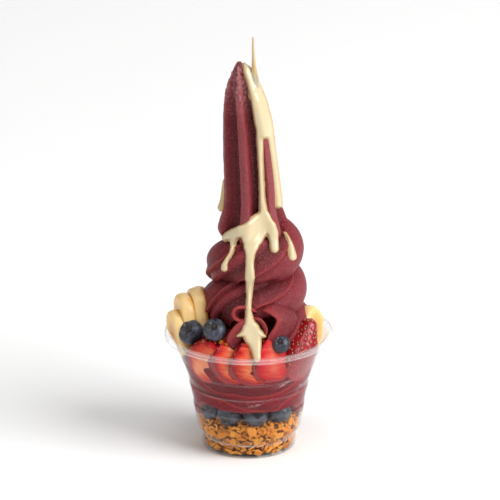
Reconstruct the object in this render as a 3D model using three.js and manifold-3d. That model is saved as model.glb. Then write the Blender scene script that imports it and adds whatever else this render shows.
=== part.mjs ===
// An acai cup: a clear tumbler holding granola, blueberries and acai cream, with a tall piped
// swirl, strawberry and banana slices, more blueberries and a drizzle of condensed milk.
// Millimetres, +Z up. The origin is the middle of the cup's base; -Y is the front.

import * as THREE from 'three';
import { mergeVertices } from 'three/addons/utils/BufferGeometryUtils.js';
import Module from 'manifold-3d';

const wasm = await Module();
wasm.setup();

// ---- Driving dimensions ----------------------------------------------------------------

const RIM_RADIUS = 49; // outside of the rolled rim
const CUP_HEIGHT = 70.3;
const WALL = 0.6;
const FIT_GAP = 0.35; // left between pieces that touch
const ROUND_STEPS = 32; // sides of the cup and of what lies against it
const SIGHT_TILT = THREE.MathUtils.degToRad(21); // streams are laid out as seen from this far above level

const GRANOLA_TOP = 19.5;
const BAND_TOP = 9; // of the cup's straight foot band
const FLAKES_FROM = 3.2; // height of the lowest row of flakes
const FLAKE_SIZE = [3.9, 3.2, 1.6]; // half sizes of a toasted oat flake
const FLAKE_ROWS = 4;
const FLAKES_IN_ROW = 12;
const FLAKE_UNEVEN = 0.2; // share by which a flake's sizes vary either way
// The heap's core, from the middle of its foot to the middle of its top: [r, z]
const GRANOLA_CORE = [
  [0, 1.8],
  [24.6, 1.8],
  [24.8, 8.6],
  [27.4, 13.2],
  [28.2, GRANOLA_TOP - 1.5],
  [22, GRANOLA_TOP],
  [0, GRANOLA_TOP],
];

const BED_TOP = 59; // the acai's level at the wall
const BED_PEAK = 76; // and where it meets the swirl

const SWIRL_AXIS_X = 3;
const NEAR_AXIS = 0.5; // the coil's inner side stops this far from the axis
const SPIRE_TOP = 234.8;

const MILK_DEPTH = 2.2; // half the thickness of a wide stream
const STREAM_SIDES = 6;
const STREAM_LOOK_UP = 5.6; // a stream's face looks up by this much over its distance from the axis
const MILK_PEAK_TOP = 250.2;

// The tumbler's wall at half its thickness, from the middle of the base to the rim's skirt: [r, z]
const WALL_LINE = [
  [0, 1.1],
  [21.5, 1.1],
  [23.2, 0.3],
  [26.2, 0.3],
  [27.0, 1.4],
  [27.0, 8.0],
  [29.8, 12.8],
  [32.3, 26.6],
  [31.8, 27.6],
  [34.6, 39.0],
  [34.1, 40.0],
  [37.1, 49.2],
  [45.1, 68.9],
  [46.6, CUP_HEIGHT - WALL / 2],
  [RIM_RADIUS - WALL / 2, 69.6],
  [RIM_RADIUS - WALL / 2, 67.4],
];

// The coil's middle line. Turn in degrees (0 is the front, + is to the right), height, reach,
// radius over the ribs, how far the ribs have turned, and how far it is pressed flat below its middle
const COIL = [
  [-740, 66, 17.0, 15.5, 0, 1],
  [-630, 74, 16.8, 16.0, 0, 1],
  [-540, 79.5, 16.4, 16.0, 0, 1],
  [-450, 86.6, 15.6, 16.2, 8, 1],
  [-423, 89.4, 15.5, 16.2, 20, 0.9],
  [-398, 91.6, 15.2, 16.0, -8, 0.9],
  [-370, 93.1, 14.8, 16.0, -17, 0.92],
  [-340, 94.4, 14.5, 16.0, -8, 1],
  [-315, 95.1, 14.6, 16.0, 0, 1],
  [-270, 96.5, 15.0, 16.0, 0, 1],
  [-180, 102.5, 14.2, 16.0, 0, 1],
  [-90, 110.2, 12.6, 16.2, 6, 0.9],
  [-58, 112.8, 12.4, 16.2, 11, 0.75],
  [-20, 115.3, 12.5, 16.0, -4, 0.62],
  [0, 116.4, 12.6, 16.0, -3, 0.85],
  [20, 117.3, 12.5, 16.0, 0, 1],
  [90, 121, 13.2, 16.0, 0, 1],
  [150, 124, 11.2, 16.0, 0, 1],
  [210, 127, 6.5, 15.0, 0, 1],
  [250, 129, 3.0, 13.0, 0, 1],
];
const COIL_STEP = 22.5; // degrees between its sections
const COIL_STRETCH = 8; // sections in one closed stretch

// One rib of the coil as share of its period, from one crest to the next, and radius as share
const COIL_RIBS = 4;
const COIL_RIB_PHASE = 15; // degrees
const COIL_RIB = [
  [0, 1.0],
  [0.08, 0.91],
  [0.3, 0.955],
  [0.5, 0.8],
  [0.8, 0.86],
];
// Where the ribs are smoothed away: turn and half width, angle round the rope and half width
const SMOOTHED = [
  [88, 62, 88, 62],
  [-272, 62, 88, 62],
  [-632, 62, 88, 62],
  [-70, 75, -155, 58],
  [-430, 75, -155, 58],
];
const SMOOTH_RADIUS = 0.965;

// The spire: height, radius over the ribs, the axis's X
const SPIRE = [
  [124.5, 14.0, 2.4],
  [129, 17.8, 2.3],
  [134.5, 20.2, 2.2],
  [139, 19.2, 2.1],
  [146, 17.0, 2.0],
  [161, 16.0, 1.7],
  [178, 15.4, 0.6],
  [195, 14.3, -0.6],
  [208, 12.4, -2.2],
  [219, 9.4, -3.7],
  [227, 5.6, -4.9],
  [232, 2.8, -5.4],
  [SPIRE_TOP, 0.9, -5.6],
];
const SPIRE_RIBS = 6;
const SPIRE_RIB_PHASE = -15;
const SPIRE_RIB = [
  [-0.16, 1.0],
  [0.16, 1.0],
  [0.27, 0.71],
  [0.5, 0.63],
  [0.73, 0.71],
];

// The middle of the swirl, filled all the way up
const CORE = { radius: 10, from: 62, to: 132 };

// ---- Solids ------------------------------------------------------------------------------

/** A manifold solid from a closed geometry, faces out. */
function solidOf(geometry) {
  const bare = geometry.clone();
  bare.deleteAttribute('normal');
  bare.deleteAttribute('uv');
  const merged = mergeVertices(bare, 1e-4);
  const points = merged.attributes.position.array;
  const corner = (i) => new THREE.Vector3().fromArray(points, 3 * i);
  const triangles = [];
  let volume = 0;
  for (let i = 0; i < merged.index.count; i += 3) {
    const [a, b, c] = [0, 1, 2].map((k) => merged.index.getX(i + k));
    if (a === b || b === c || c === a) continue;
    triangles.push([a, b, c]);
    volume += corner(a).dot(corner(b).cross(corner(c)));
  }
  const outward = volume > 0 ? triangles : triangles.map(([a, b, c]) => [a, c, b]);
  return new wasm.Manifold(new wasm.Mesh({
    numProp: 3,
    vertProperties: new Float32Array(points),
    triVerts: new Uint32Array(outward.flat()),
  }));
}

/** The geometry of a solid. */
function geometryOf(solid) {
  const { vertProperties, triVerts } = solid.getMesh();
  const geometry = new THREE.BufferGeometry();
  geometry.setAttribute('position', new THREE.BufferAttribute(new Float32Array(vertProperties), 3));
  geometry.setIndex(Array.from(triVerts));
  return geometry;
}

/** The named mesh of a solid, in its own finish. */
function pieceOf(name, solid, material) {
  const geometry = geometryOf(mainBody(solidOf(geometryOf(solid))));
  geometry.computeVertexNormals();
  const mesh = new THREE.Mesh(geometry, material);
  mesh.name = name;
  return mesh;
}

const joinAll = (solids) => solids.reduce((whole, next) => whole.add(next));
const cutAll = (solid, cutters) => cutters.reduce((rest, next) => rest.subtract(next), solid);

/** Only the largest body of a solid, without the scraps that a cut leaves. */
function mainBody(solid) {
  return solid.decompose().reduce((a, b) => (a.volume() > b.volume() ? a : b));
}

/** A body turned about Z from a closed [r, z] outline. */
function turned(outline, steps = ROUND_STEPS) {
  const points = outline.map(([r, z]) => new THREE.Vector2(r, z));
  return new THREE.LatheGeometry(points, steps).rotateX(Math.PI / 2);
}

/** A closed skin over rings of points, each end closed round its middle. */
function loft(rings) {
  const count = rings[0].length;
  const points = rings.flat();
  const faces = [];
  for (let ring = 0; ring + 1 < rings.length; ring += 1) {
    for (let k = 0; k < count; k += 1) {
      const [a, b] = [ring * count + k, ring * count + ((k + 1) % count)];
      faces.push(a, b, a + count, b, b + count, a + count);
    }
  }
  for (const [ring, turnBack] of [[0, true], [rings.length - 1, false]]) {
    const middle = rings[ring].reduce((sum, p) => sum.add(p), new THREE.Vector3()).divideScalar(count);
    points.push(middle);
    for (let k = 0; k < count; k += 1) {
      const [a, b] = [ring * count + k, ring * count + ((k + 1) % count)];
      faces.push(points.length - 1, ...(turnBack ? [b, a] : [a, b]));
    }
  }
  const geometry = new THREE.BufferGeometry().setFromPoints(points);
  geometry.setIndex(faces);
  return geometry;
}

/** The row of a table at a value of its first column, on a smooth curve through its rows. */
function rowAt(table, value) {
  const last = table.length - 2;
  const i = Math.min(Math.max(table.findIndex((row) => row[0] > value) - 1, 0), last);
  const at = value >= table[last][0] ? last : i;
  const [before, from, to, after] = [at - 1, at, at + 1, at + 2].map(
    (k) => table[Math.min(Math.max(k, 0), table.length - 1)],
  );
  const span = to[0] - from[0];
  const t = (value - from[0]) / span;
  return from.map((start, column) => {
    const slope = (p, q) => (q[0] === p[0] ? 0 : (q[column] - p[column]) / (q[0] - p[0]));
    const [m0, m1] = [slope(before, to) * span, slope(from, after) * span];
    const [t2, t3] = [t * t, t * t * t];
    return (2 * t3 - 3 * t2 + 1) * start + (t3 - 2 * t2 + t) * m0
      + (3 * t2 - 2 * t3) * to[column] + (t3 - t2) * m1;
  });
}

/** A unit vector on the level, turned from the front toward the right by degrees. */
function heading(degrees) {
  const angle = THREE.MathUtils.degToRad(degrees);
  return new THREE.Vector3(Math.sin(angle), -Math.cos(angle), 0);
}

/** Seeded random numbers from 0 to 1. */
function randomFrom(seed) {
  let state = seed;
  return () => {
    state = (state * 1664525 + 1013904223) % 4294967296;
    return state / 4294967296;
  };
}

// ---- Cup ---------------------------------------------------------------------------------

/** The wall line moved sideways by a distance; + is outwards and down. */
function wallOffset(distance) {
  return WALL_LINE.map(([r, z], i) => {
    const [r0, z0] = WALL_LINE[Math.max(i - 1, 0)];
    const [r1, z1] = WALL_LINE[Math.min(i + 1, WALL_LINE.length - 1)];
    const length = Math.hypot(r1 - r0, z1 - z0);
    const moved = r + ((z1 - z0) / length) * distance;
    return [i === 0 ? 0 : moved, z - ((r1 - r0) / length) * distance];
  });
}

function cupSolid() {
  const outside = wallOffset(WALL / 2);
  const inside = wallOffset(-WALL / 2).reverse();
  return solidOf(turned([...outside, ...inside]));
}

/** The room that the contents may fill: the cup's inside, and free space above the rim. */
function roomSolid() {
  const rimStart = WALL_LINE.findIndex(([, z]) => z > 68);
  const side = wallOffset(-(WALL / 2 + FIT_GAP)).slice(0, rimStart + 1);
  const [throat] = side[side.length - 1];
  const clear = CUP_HEIGHT + 1;
  const top = MILK_PEAK_TOP + 5;
  const above = [[throat, clear], [RIM_RADIUS, clear + 4], [RIM_RADIUS, top], [0, top]];
  return solidOf(turned([...side, ...above]));
}

const room = roomSolid();

// ---- Fruit -------------------------------------------------------------------------------

const BERRY_FLAT = 0.9; // a blueberry's height as share of its width

/** A blueberry with the shallow crown at its top; grown, it is a plain cutter. */
function berryGeometry({ radius, sides }, extra) {
  const full = radius + extra;
  const half = full * BERRY_FLAT;
  const outline = [[0, -half]];
  for (const degrees of [-55, -20, 15, 50]) {
    const angle = THREE.MathUtils.degToRad(degrees);
    outline.push([full * Math.cos(angle), half * Math.sin(angle)]);
  }
  const crown = [[full * 0.34, half * 0.97], [full * 0.22, half * 0.82], [0, half * 0.82]];
  outline.push(...(extra === 0 ? crown : [[0, full]]));
  return turned(outline, sides);
}

/** A banana slice cut on the bias: an oval disc with a rounded edge. */
function bananaGeometry({ half, tall, thick }, extra) {
  const depth = thick / 2 + extra;
  const outline = [[0, -depth], [0.93, -depth], [1, 0], [0.93, depth], [0, depth]];
  return turned(outline, 14).scale(half + extra, tall + extra, 1).rotateX(Math.PI / 2);
}

/** A slice of strawberry: the cone-like berry between two planes. */
function strawberrySolid({ radius, tall, thick, shift = 0 }, extra) {
  const outline = [[0, -0.5], [0.4, -0.43], [0.8, -0.16], [0.97, 0.2], [0.7, 0.45], [0, 0.5]];
  const whole = turned(outline, 10).scale(radius + extra, radius + extra, tall + 2 * extra);
  const slab = new THREE.BoxGeometry(4 * radius, thick + 2 * extra, 4 * tall).translate(0, shift, 0);
  return solidOf(whole).intersect(solidOf(slab));
}

/** Places a solid by its middle, the heading that its face looks along, its lean back and its roll. */
function placed(solid, { at, faces = 0, lean = 0, roll = 0 }) {
  const turn = new THREE.Euler(...[-lean, roll, faces].map(THREE.MathUtils.degToRad), 'ZXY');
  const matrix = new THREE.Matrix4().makeRotationFromEuler(turn).setPosition(...at);
  return solid.transform(matrix.elements);
}

// Blueberries: middle, radius and the way that the crown looks
const BURIED_BERRY_REACH = 24.1;
const BURIED_BERRIES = [
  { turn: -62, z: 25.6, radius: 7.2, lean: 70 },
  { turn: -28, z: 25.8, radius: 7.2, lean: 110 },
  { turn: 9, z: 26.8, radius: 7.2, lean: 60 },
  { turn: 47, z: 25.2, radius: 7.1, lean: -40 },
  { turn: 126, z: 25.8, radius: 7.0, lean: 85 },
  { turn: 161, z: 26.4, radius: 7.2, lean: 30 },
  { turn: 197, z: 25.6, radius: 7.2, lean: 100 },
  { turn: 234, z: 26.0, radius: 7.1, lean: 60 },
];
const TOP_BERRIES = [
  { at: [-33.8, -17.5, 75.6], radius: 7.5, faces: -15, lean: 55 },
  { at: [-19.8, -29.5, 81.6], radius: 6.75, faces: -40, lean: 50 },
  { at: [18.2, -31.5, 73.6], radius: 5.45, faces: -20, lean: 45 },
  { at: [24.0, 30.5, 76.0], radius: 7.0, faces: 150, lean: 40 },
  { at: [-8.0, 30.8, 78.5], radius: 6.6, faces: 190, lean: 50 },
];
const STRAWBERRIES = [
  { at: [-29.0, -25.0, 65.5], radius: 10, tall: 25, thick: 6.2, faces: -22, lean: 24, roll: 62 },
  { at: [-16.5, -33.2, 65.5], radius: 9.4, tall: 26, thick: 5.6, faces: 8, lean: 22, roll: 20 },
  { at: [-5.0, -36.0, 65.8], radius: 9.4, tall: 26, thick: 5.6, faces: 26, lean: 22, roll: 18 },
  { at: [10.0, -35.4, 65.0], radius: 9.2, tall: 25, thick: 5.6, faces: 42, lean: 20, roll: -30 },
  { at: [30.0, -22.0, 67.0], radius: 13, tall: 33, thick: 11, shift: -5.5, faces: 52, lean: 20, roll: 140 },
  { at: [33.5, 19.0, 66.5], radius: 10, tall: 27, thick: 6, faces: 118, lean: 20, roll: 30 },
  { at: [9.5, 37.0, 66.0], radius: 10, tall: 26, thick: 6, faces: 160, lean: 20, roll: -15 },
  { at: [-27.5, 27.5, 66.0], radius: 10, tall: 26, thick: 6, faces: 215, lean: 20, roll: 25 },
];
const BANANAS = [
  { at: [-29.6, -3.5, 79.8], half: 13.8, tall: 18.2, thick: 4.6, faces: -62, lean: 4, roll: 0 },
  { at: [-34.0, -6.4, 77.2], half: 13.8, tall: 18.0, thick: 4.6, faces: -60, lean: 8, roll: 0 },
  { at: [-38.2, -9.8, 71.5], half: 13.4, tall: 14.4, thick: 4.6, faces: -58, lean: 12, roll: 0 },
  { at: [-31.0, 12.0, 76.0], half: 13.6, tall: 16.0, thick: 4.8, faces: -118, lean: 6, roll: 0 },
  { at: [36.0, 1.5, 70.6], half: 13.6, tall: 13.6, thick: 5.2, faces: 66, lean: 14, roll: 0 },
];

/** A fruit piece at its own size, and grown by the gap as a cutter for what it is pressed into. */
function fruit(build) {
  return { solid: build(0), cutter: build(FIT_GAP) };
}

const buriedBerries = BURIED_BERRIES.map(({ turn, z, radius, lean }) => fruit((extra) => {
  const at = heading(turn).multiplyScalar(BURIED_BERRY_REACH).setZ(z).toArray();
  return placed(solidOf(berryGeometry({ radius, sides: 8 }, extra)), { at, faces: turn, lean });
}));
const topBerries = TOP_BERRIES.map((spec) => fruit((extra) => (
  placed(solidOf(berryGeometry({ radius: spec.radius, sides: 9 }, extra)), spec)
)));
const strawberries = STRAWBERRIES.map((spec) => fruit((extra) => (
  placed(strawberrySolid(spec, extra), spec)
)));
const bananas = BANANAS.map((spec) => fruit((extra) => (
  placed(solidOf(bananaGeometry(spec, extra)), spec)
)));

/** Trims each fruit piece by the wall and by the pieces before it. */
function settle(pieces) {
  const cutters = [];
  for (const piece of pieces) {
    piece.solid = mainBody(cutAll(piece.solid.intersect(room), cutters));
    cutters.push(piece.cutter);
  }
  return cutters;
}

const buriedCutters = settle(buriedBerries);
const toppingCutters = settle([...topBerries, ...strawberries, ...bananas]);

// ---- Granola -----------------------------------------------------------------------------

/** The heap's core, with oat flakes lying against the wall and on top. */
function granolaSolid() {
  const random = randomFrom(7);
  const core = turned(GRANOLA_CORE, 18);
  const flakes = [];
  const addFlake = (turn, reach, z) => {
    const flake = new THREE.OctahedronGeometry(1, 0);
    flake.scale(...FLAKE_SIZE.map((size) => size * (1 + FLAKE_UNEVEN * (2 * random() - 1))));
    flake.rotateZ(2 * Math.PI * random()).rotateX(Math.PI / 2 + 0.7 * (random() - 0.5));
    flake.rotateZ(THREE.MathUtils.degToRad(turn));
    const at = heading(turn).multiplyScalar(reach).setZ(z);
    flakes.push(solidOf(flake.translate(at.x, at.y, at.z)));
  };
  for (let row = 0; row < FLAKE_ROWS; row += 1) {
    const z = FLAKES_FROM + (row * (GRANOLA_TOP - FLAKES_FROM)) / (FLAKE_ROWS - 1);
    const reach = z < BAND_TOP ? 24.2 : 27.4;
    for (let k = 0; k < FLAKES_IN_ROW; k += 1) {
      const turn = ((k + (row % 2) / 2 + 0.5 * random()) * 360) / FLAKES_IN_ROW;
      addFlake(turn, reach - 0.6 * random(), z + 1.6 * (random() - 0.5));
    }
  }
  return mainBody(cutAll(joinAll([solidOf(core), ...flakes]).intersect(room), buriedCutters));
}

// ---- Acai --------------------------------------------------------------------------------

/** The bed of acai in the cup, which climbs from the wall to the swirl. */
function bedSolid() {
  const outline = [
    [0, 20.6], [17, 20.8], [23.5, 29.6], [40, 30.4], [60, 30.4], [60, BED_TOP],
    [39.5, BED_TOP], [37, 63.5], [32, 70], [26.5, BED_PEAK], [0, BED_PEAK],
  ];
  return solidOf(turned(outline)).intersect(room);
}

/** Radii and angles round a ribbed rope's section, with the crests at fixed headings. */
function ribbedSection(ribs, phase, rib) {
  const period = 360 / ribs;
  const section = [];
  for (let k = 0; k < ribs; k += 1) {
    for (const [share, radius] of rib) section.push([phase + (k + share) * period, radius]);
  }
  return section;
}

/** How far the ribs are smoothed away at a turn and an angle round the rope, from 0 to 1. */
function smoothing(turn, angle) {
  return Math.max(...SMOOTHED.map(([atTurn, turnWidth, atAngle, angleWidth]) => {
    const apart = THREE.MathUtils.euclideanModulo(angle - atAngle + 180, 360) - 180;
    return Math.exp(-(((turn - atTurn) / turnWidth) ** 6) - (apart / angleWidth) ** 8);
  }));
}

/** One section of the coiled rope. A level section laid over to the rope's way keeps its ribs' headings. */
function coilRing(section, turn) {
  const middleAt = (degrees) => {
    const [, z, reach] = rowAt(COIL, degrees);
    return heading(degrees).multiplyScalar(reach).add(new THREE.Vector3(SWIRL_AXIS_X, 0, z));
  };
  const [, , , size, ribTurn, pressed] = rowAt(COIL, turn);
  const along = middleAt(turn + 1).sub(middleAt(turn - 1)).normalize();
  const lay = new THREE.Quaternion().setFromUnitVectors(new THREE.Vector3(0, 0, 1), along);
  const middle = middleAt(turn);
  const out = heading(turn);
  return section.map(([angle, radius]) => {
    const smooth = smoothing(turn, angle);
    const reach = size * (radius + (SMOOTH_RADIUS - radius) * smooth);
    const point = heading(angle + ribTurn).applyQuaternion(lay).multiplyScalar(reach);
    if (point.z < 0) point.z *= pressed;
    point.add(middle);
    const fromAxis = point.clone().setX(point.x - SWIRL_AXIS_X).dot(out);
    return point.addScaledVector(out, Math.max(NEAR_AXIS - fromAxis, 0));
  });
}

/** The coil as closed stretches joined end in end, round its filled middle. */
function coilSolid() {
  const section = ribbedSection(COIL_RIBS, COIL_RIB_PHASE, COIL_RIB);
  const [start, end] = [COIL[0][0], COIL[COIL.length - 1][0]];
  const rings = [];
  for (let turn = start; turn <= end; turn += COIL_STEP) rings.push(coilRing(section, turn));
  const { radius, from, to } = CORE;
  const stretches = [solidOf(turned([[0, from], [radius, from], [radius, to], [0, to]], 12))];
  for (let first = 0; first + 1 < rings.length; first += COIL_STRETCH) {
    stretches.push(solidOf(loft(rings.slice(first, first + COIL_STRETCH + 2))));
  }
  return joinAll(stretches);
}

/** The upright end of the rope, ribbed and drawn out to a point. */
function spireSolid() {
  const section = ribbedSection(SPIRE_RIBS, SPIRE_RIB_PHASE, SPIRE_RIB);
  const rings = SPIRE.map(([z, size, axis]) => {
    const middle = new THREE.Vector3(axis, 0, z);
    return section.map(([angle, radius]) => heading(angle).multiplyScalar(radius * size).add(middle));
  });
  return solidOf(loft(rings));
}

// ---- Streams that lie on the surface -----------------------------------------------------

const sightUp = new THREE.Vector3(0, Math.sin(SIGHT_TILT), Math.cos(SIGHT_TILT));
const sightAlong = new THREE.Vector3(0, Math.cos(SIGHT_TILT), -Math.sin(SIGHT_TILT));
const FAR = 300;

/** Where the line of sight at [across, up] first meets a target. */
function seenPoint(target, across, up) {
  const origin = new THREE.Vector3(across, 0, 0).addScaledVector(sightUp, up);
  return firstHit(target, origin.addScaledVector(sightAlong, -FAR), sightAlong);
}

/** Where a level line toward the spire's axis, from a heading and a height, first meets a target. */
function roundPoint(target, turn, z) {
  const [, , axis] = rowAt(SPIRE, z);
  const out = heading(turn);
  const origin = new THREE.Vector3(axis, 0, z).addScaledVector(out, FAR);
  return firstHit(target, origin, out.negate());
}

/** The first point of a target on a line, and the way out from the swirl's middle there. */
function firstHit(target, origin, direction) {
  const [{ point }] = new THREE.Raycaster(origin, direction).intersectObject(target);
  const normal = new THREE.Vector3(point.x - SWIRL_AXIS_X, point.y, STREAM_LOOK_UP).normalize();
  return { at: point, normal };
}

/** A flat stream with round ends through points on a surface, each with a width. */
function streamSolid(points, depth) {
  const stations = [];
  points.forEach((point, i) => {
    const next = points[Math.min(i + 1, points.length - 1)];
    const before = points[Math.max(i - 1, 0)];
    const along = next.at.clone().sub(before.at).normalize();
    stations.push({ ...point, along });
  });
  const [first, last] = [stations[0], stations[stations.length - 1]];
  const capped = ({ at, normal, along, width }, way) => (
    { at: at.clone().addScaledVector(along, way * width * 0.36), normal, along, width: width * 0.6 }
  );
  const rings = [capped(first, -1), ...stations, capped(last, 1)].map(({ at, normal, along, width }) => {
    const side = along.clone().cross(normal).normalize();
    const out = side.clone().cross(along).normalize();
    const high = Math.min(width / 2, depth);
    return Array.from({ length: STREAM_SIDES }, (_, k) => {
      const angle = (2 * Math.PI * k) / STREAM_SIDES;
      const across = side.clone().multiplyScalar((width / 2) * Math.cos(angle));
      return across.addScaledVector(out, high * Math.sin(angle)).add(at);
    });
  });
  return solidOf(loft(rings));
}

/** Folds of acai squeezed out under the coil's front: [across, up, width] as seen. */
const FOLDS = [
  [[-13.4, 59.6, 5], [-9.8, 66.0, 6], [-4.0, 71.4, 5]],
  [[11.9, 76.0, 5], [16.7, 71.7, 6], [11.0, 63.0, 5]],
];

/** Milk as seen from the front: the pool's middle and tail, its arms, and the drips. */
const MILK_SEEN = [
  [
    [7.5, 135, 6], [4.4, 128, 12], [1.7, 118.4, 13], [1.0, 108, 7], [0.4, 97.1, 6.6], [0.3, 86, 3.8],
    [-0.2, 76.3, 3.6], [0.3, 68.8, 6.3], [1.4, 63.1, 11.5], [3.2, 57.9, 7.8], [4.6, 49.8, 4.6],
  ],
  [[0.6, 124.2, 8.1], [-6.3, 122.4, 6.3], [-12.1, 119.6, 4]],
  [[-9.8, 118.5, 3], [-10.1, 111.5, 2], [-12.7, 107.5, 2], [-14.1, 103.4, 4], [-14.2, 101.2, 4.9]],
  [[7.5, 131.7, 7], [12.1, 124.2, 7.5], [14.7, 116.1, 4.8], [14.8, 111.8, 5]],
  [[21.9, 120.7, 1.6], [23.6, 115, 2.9], [24.8, 108, 4.9]],
];

/** Milk round the spire: [heading, height, width]. */
const MILK_ROUND = [
  [[20, 226, 4], [22, 212, 7], [22, 198, 6], [20, 178, 3.5], [22, 148, 4.5]],
  [[45, 227, 5], [45, 214, 9], [45, 201, 9]],
  [[72, 222, 4], [66, 203, 6], [60, 180, 3], [70, 151, 4]],
  [[-104, 168, 2], [-100, 158, 3], [-98, 148, 4]],
];

/** The milk's drawn-out peak: [x, y, z, width]. */
const MILK_PEAK = [
  [4.0, -3.6, 219, 6.0],
  [3.4, -2.6, 226, 3.6],
  [2.9, -2.4, 233, 2.0],
  [2.5, -2.4, 241, 1.1],
  [2.4, -2.4, MILK_PEAK_TOP, 0.8],
];

/** The streams, each point laid on a target by a rule. */
function laidStreams(target, streams, lay, depth) {
  return streams.map((stream) => streamSolid(
    stream.map(([a, b, width]) => ({ ...lay(target, a, b), width })),
    depth,
  ));
}

function peakSolid() {
  const side = new THREE.Vector3(0, -1, 0);
  const points = MILK_PEAK.map(([x, y, z, width]) => (
    { at: new THREE.Vector3(x, y, z), normal: side, width }
  ));
  return streamSolid(points, MILK_PEAK[0][3]);
}

/** The acai with its swirl and the milk on it, as one body. */
function acaiSolid() {
  const swirl = joinAll([bedSolid(), coilSolid(), spireSolid()]);
  const swirlMesh = pieceOf('swirl', swirl, new THREE.MeshBasicMaterial());
  const folds = laidStreams(swirlMesh, FOLDS, seenPoint, 4);
  const body = cutAll(joinAll([swirl, ...folds]), [...buriedCutters, ...toppingCutters]);
  const fruitSolids = [...topBerries, ...strawberries, ...bananas].map(({ solid }) => solid);
  const dressed = pieceOf('dressed', joinAll([body, ...fruitSolids]), new THREE.MeshBasicMaterial());
  const milk = joinAll([
    ...laidStreams(dressed, MILK_SEEN, seenPoint, MILK_DEPTH),
    ...laidStreams(swirlMesh, MILK_ROUND, roundPoint, MILK_DEPTH),
    peakSolid(),
  ]);
  return mainBody(body.add(cutAll(milk.intersect(room), toppingCutters)));
}

// ---- The whole ---------------------------------------------------------------------------

/** A finish that isn't metal, with its colour and roughness. */
const finish = (color, roughness, more = {}) => (
  new THREE.MeshStandardMaterial({ color, roughness, metalness: 0, ...more })
);
const finishes = {
  clear: finish(0xe9eef0, 0.08, { transparent: true, opacity: 0.35 }),
  granola: finish(0xc98a3c, 0.8),
  acai: finish(0x6a2b32, 0.55),
  blueberry: finish(0x333743, 0.5),
  strawberry: finish(0xd8281c, 0.3),
  banana: finish(0xf3d890, 0.45),
};

const acaiCup = new THREE.Group();
acaiCup.add(pieceOf('cup', cupSolid(), finishes.clear));
acaiCup.add(pieceOf('granola', granolaSolid(), finishes.granola));
acaiCup.add(pieceOf('acai', acaiSolid(), finishes.acai));
const addEach = (name, pieces, material) => pieces.forEach(({ solid }, i) => {
  acaiCup.add(pieceOf(`${name}_${i + 1}`, solid, material));
});
addEach('buried_blueberry', buriedBerries, finishes.blueberry);
addEach('blueberry', topBerries, finishes.blueberry);
addEach('strawberry_slice', strawberries, finishes.strawberry);
addEach('banana_slice', bananas, finishes.banana);

export default acaiCup;
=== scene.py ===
"""An acai cup for the library: clear tumbler, granola, blueberries, acai swirl, fruit and condensed milk.

Sizes are in millimetres, as the maker of the cup would give them; MM turns them to Blender's metres.
A turn is in degrees round the cup: 0 is the front (-Y), and + goes to the right (+X).
"""
from __future__ import annotations

import logging
import math
from dataclasses import dataclass, field
from enum import Enum
from typing import Any, Sequence

import bmesh
import bpy
import numpy as np
from bpy.types import Material, Mesh, Node, NodeSocket, NodeTree, Object
from mathutils import Euler, Matrix, Vector, noise
from mathutils.bvhtree import BVHTree


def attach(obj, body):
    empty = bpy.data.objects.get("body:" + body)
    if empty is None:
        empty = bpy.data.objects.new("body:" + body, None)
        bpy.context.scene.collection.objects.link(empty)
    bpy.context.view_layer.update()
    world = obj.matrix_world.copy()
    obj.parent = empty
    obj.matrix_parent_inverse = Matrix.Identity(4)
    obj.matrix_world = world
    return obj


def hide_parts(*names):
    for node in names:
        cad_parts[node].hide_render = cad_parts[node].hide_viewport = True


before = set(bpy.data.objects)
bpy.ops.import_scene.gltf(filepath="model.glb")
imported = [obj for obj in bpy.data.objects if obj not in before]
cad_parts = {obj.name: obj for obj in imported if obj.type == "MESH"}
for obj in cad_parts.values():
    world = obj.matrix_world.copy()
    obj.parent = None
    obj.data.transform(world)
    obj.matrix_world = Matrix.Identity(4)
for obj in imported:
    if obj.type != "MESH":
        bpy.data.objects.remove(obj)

Array = np.ndarray
Colour = tuple[float, float, float, float]
Rows = tuple[tuple[Any, ...], ...]

LOG = logging.getLogger("acai_cup")
MM = 0.001
BODY = "root"
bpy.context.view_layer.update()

RIM_RADIUS = 49.0
CUP_HEIGHT = 70.3
WALL = 0.6
PRESSED_IN = 0.12  # how far the contents reach into the wall
SIGHT_TILT = 21.0  # degrees that the view looks down
SWIRL_AXIS_X = 3.0
VIEW_START = 300.0  # how far in front of the cup the view's rays start
NO_WALL = 1000.0  # the room's radius above the rim

# The tumbler's wall at half its thickness, from the middle of the base to the rim's skirt: [r, z]
WALL_LINE = np.array([
    [0, 1.1], [21.5, 1.1], [23.2, 0.3], [26.2, 0.3], [27.0, 1.4], [27.0, 8.0], [29.8, 12.8],
    [32.3, 26.6], [31.8, 27.6], [34.6, 39.0], [34.1, 40.0], [37.1, 49.2], [45.1, 68.9],
    [46.6, CUP_HEIGHT - WALL / 2], [RIM_RADIUS - WALL / 2, 69.6], [RIM_RADIUS - WALL / 2, 67.4],
])
BASE_TOP = WALL_LINE[0, 1] + WALL / 2
SIDE_ROWS = slice(4, 14)  # the rows of the wall line that the contents can touch
UPWARD = np.array([0, 0, 1.0])


# ---- Small tools ----


def srgb(code: str) -> Colour:
    """A linear colour, opaque, from an sRGB hex code.

    Args:
        code: the colour as "#rrggbb".

    Returns:
        Red, green, blue and alpha, linear.
    """
    parts = [int(code[i:i + 2], 16) / 255 for i in (1, 3, 5)]
    linear = [p / 12.92 if p <= 0.04045 else ((p + 0.055) / 1.055) ** 2.4 for p in parts]
    return (*linear, 1.0)


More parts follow.
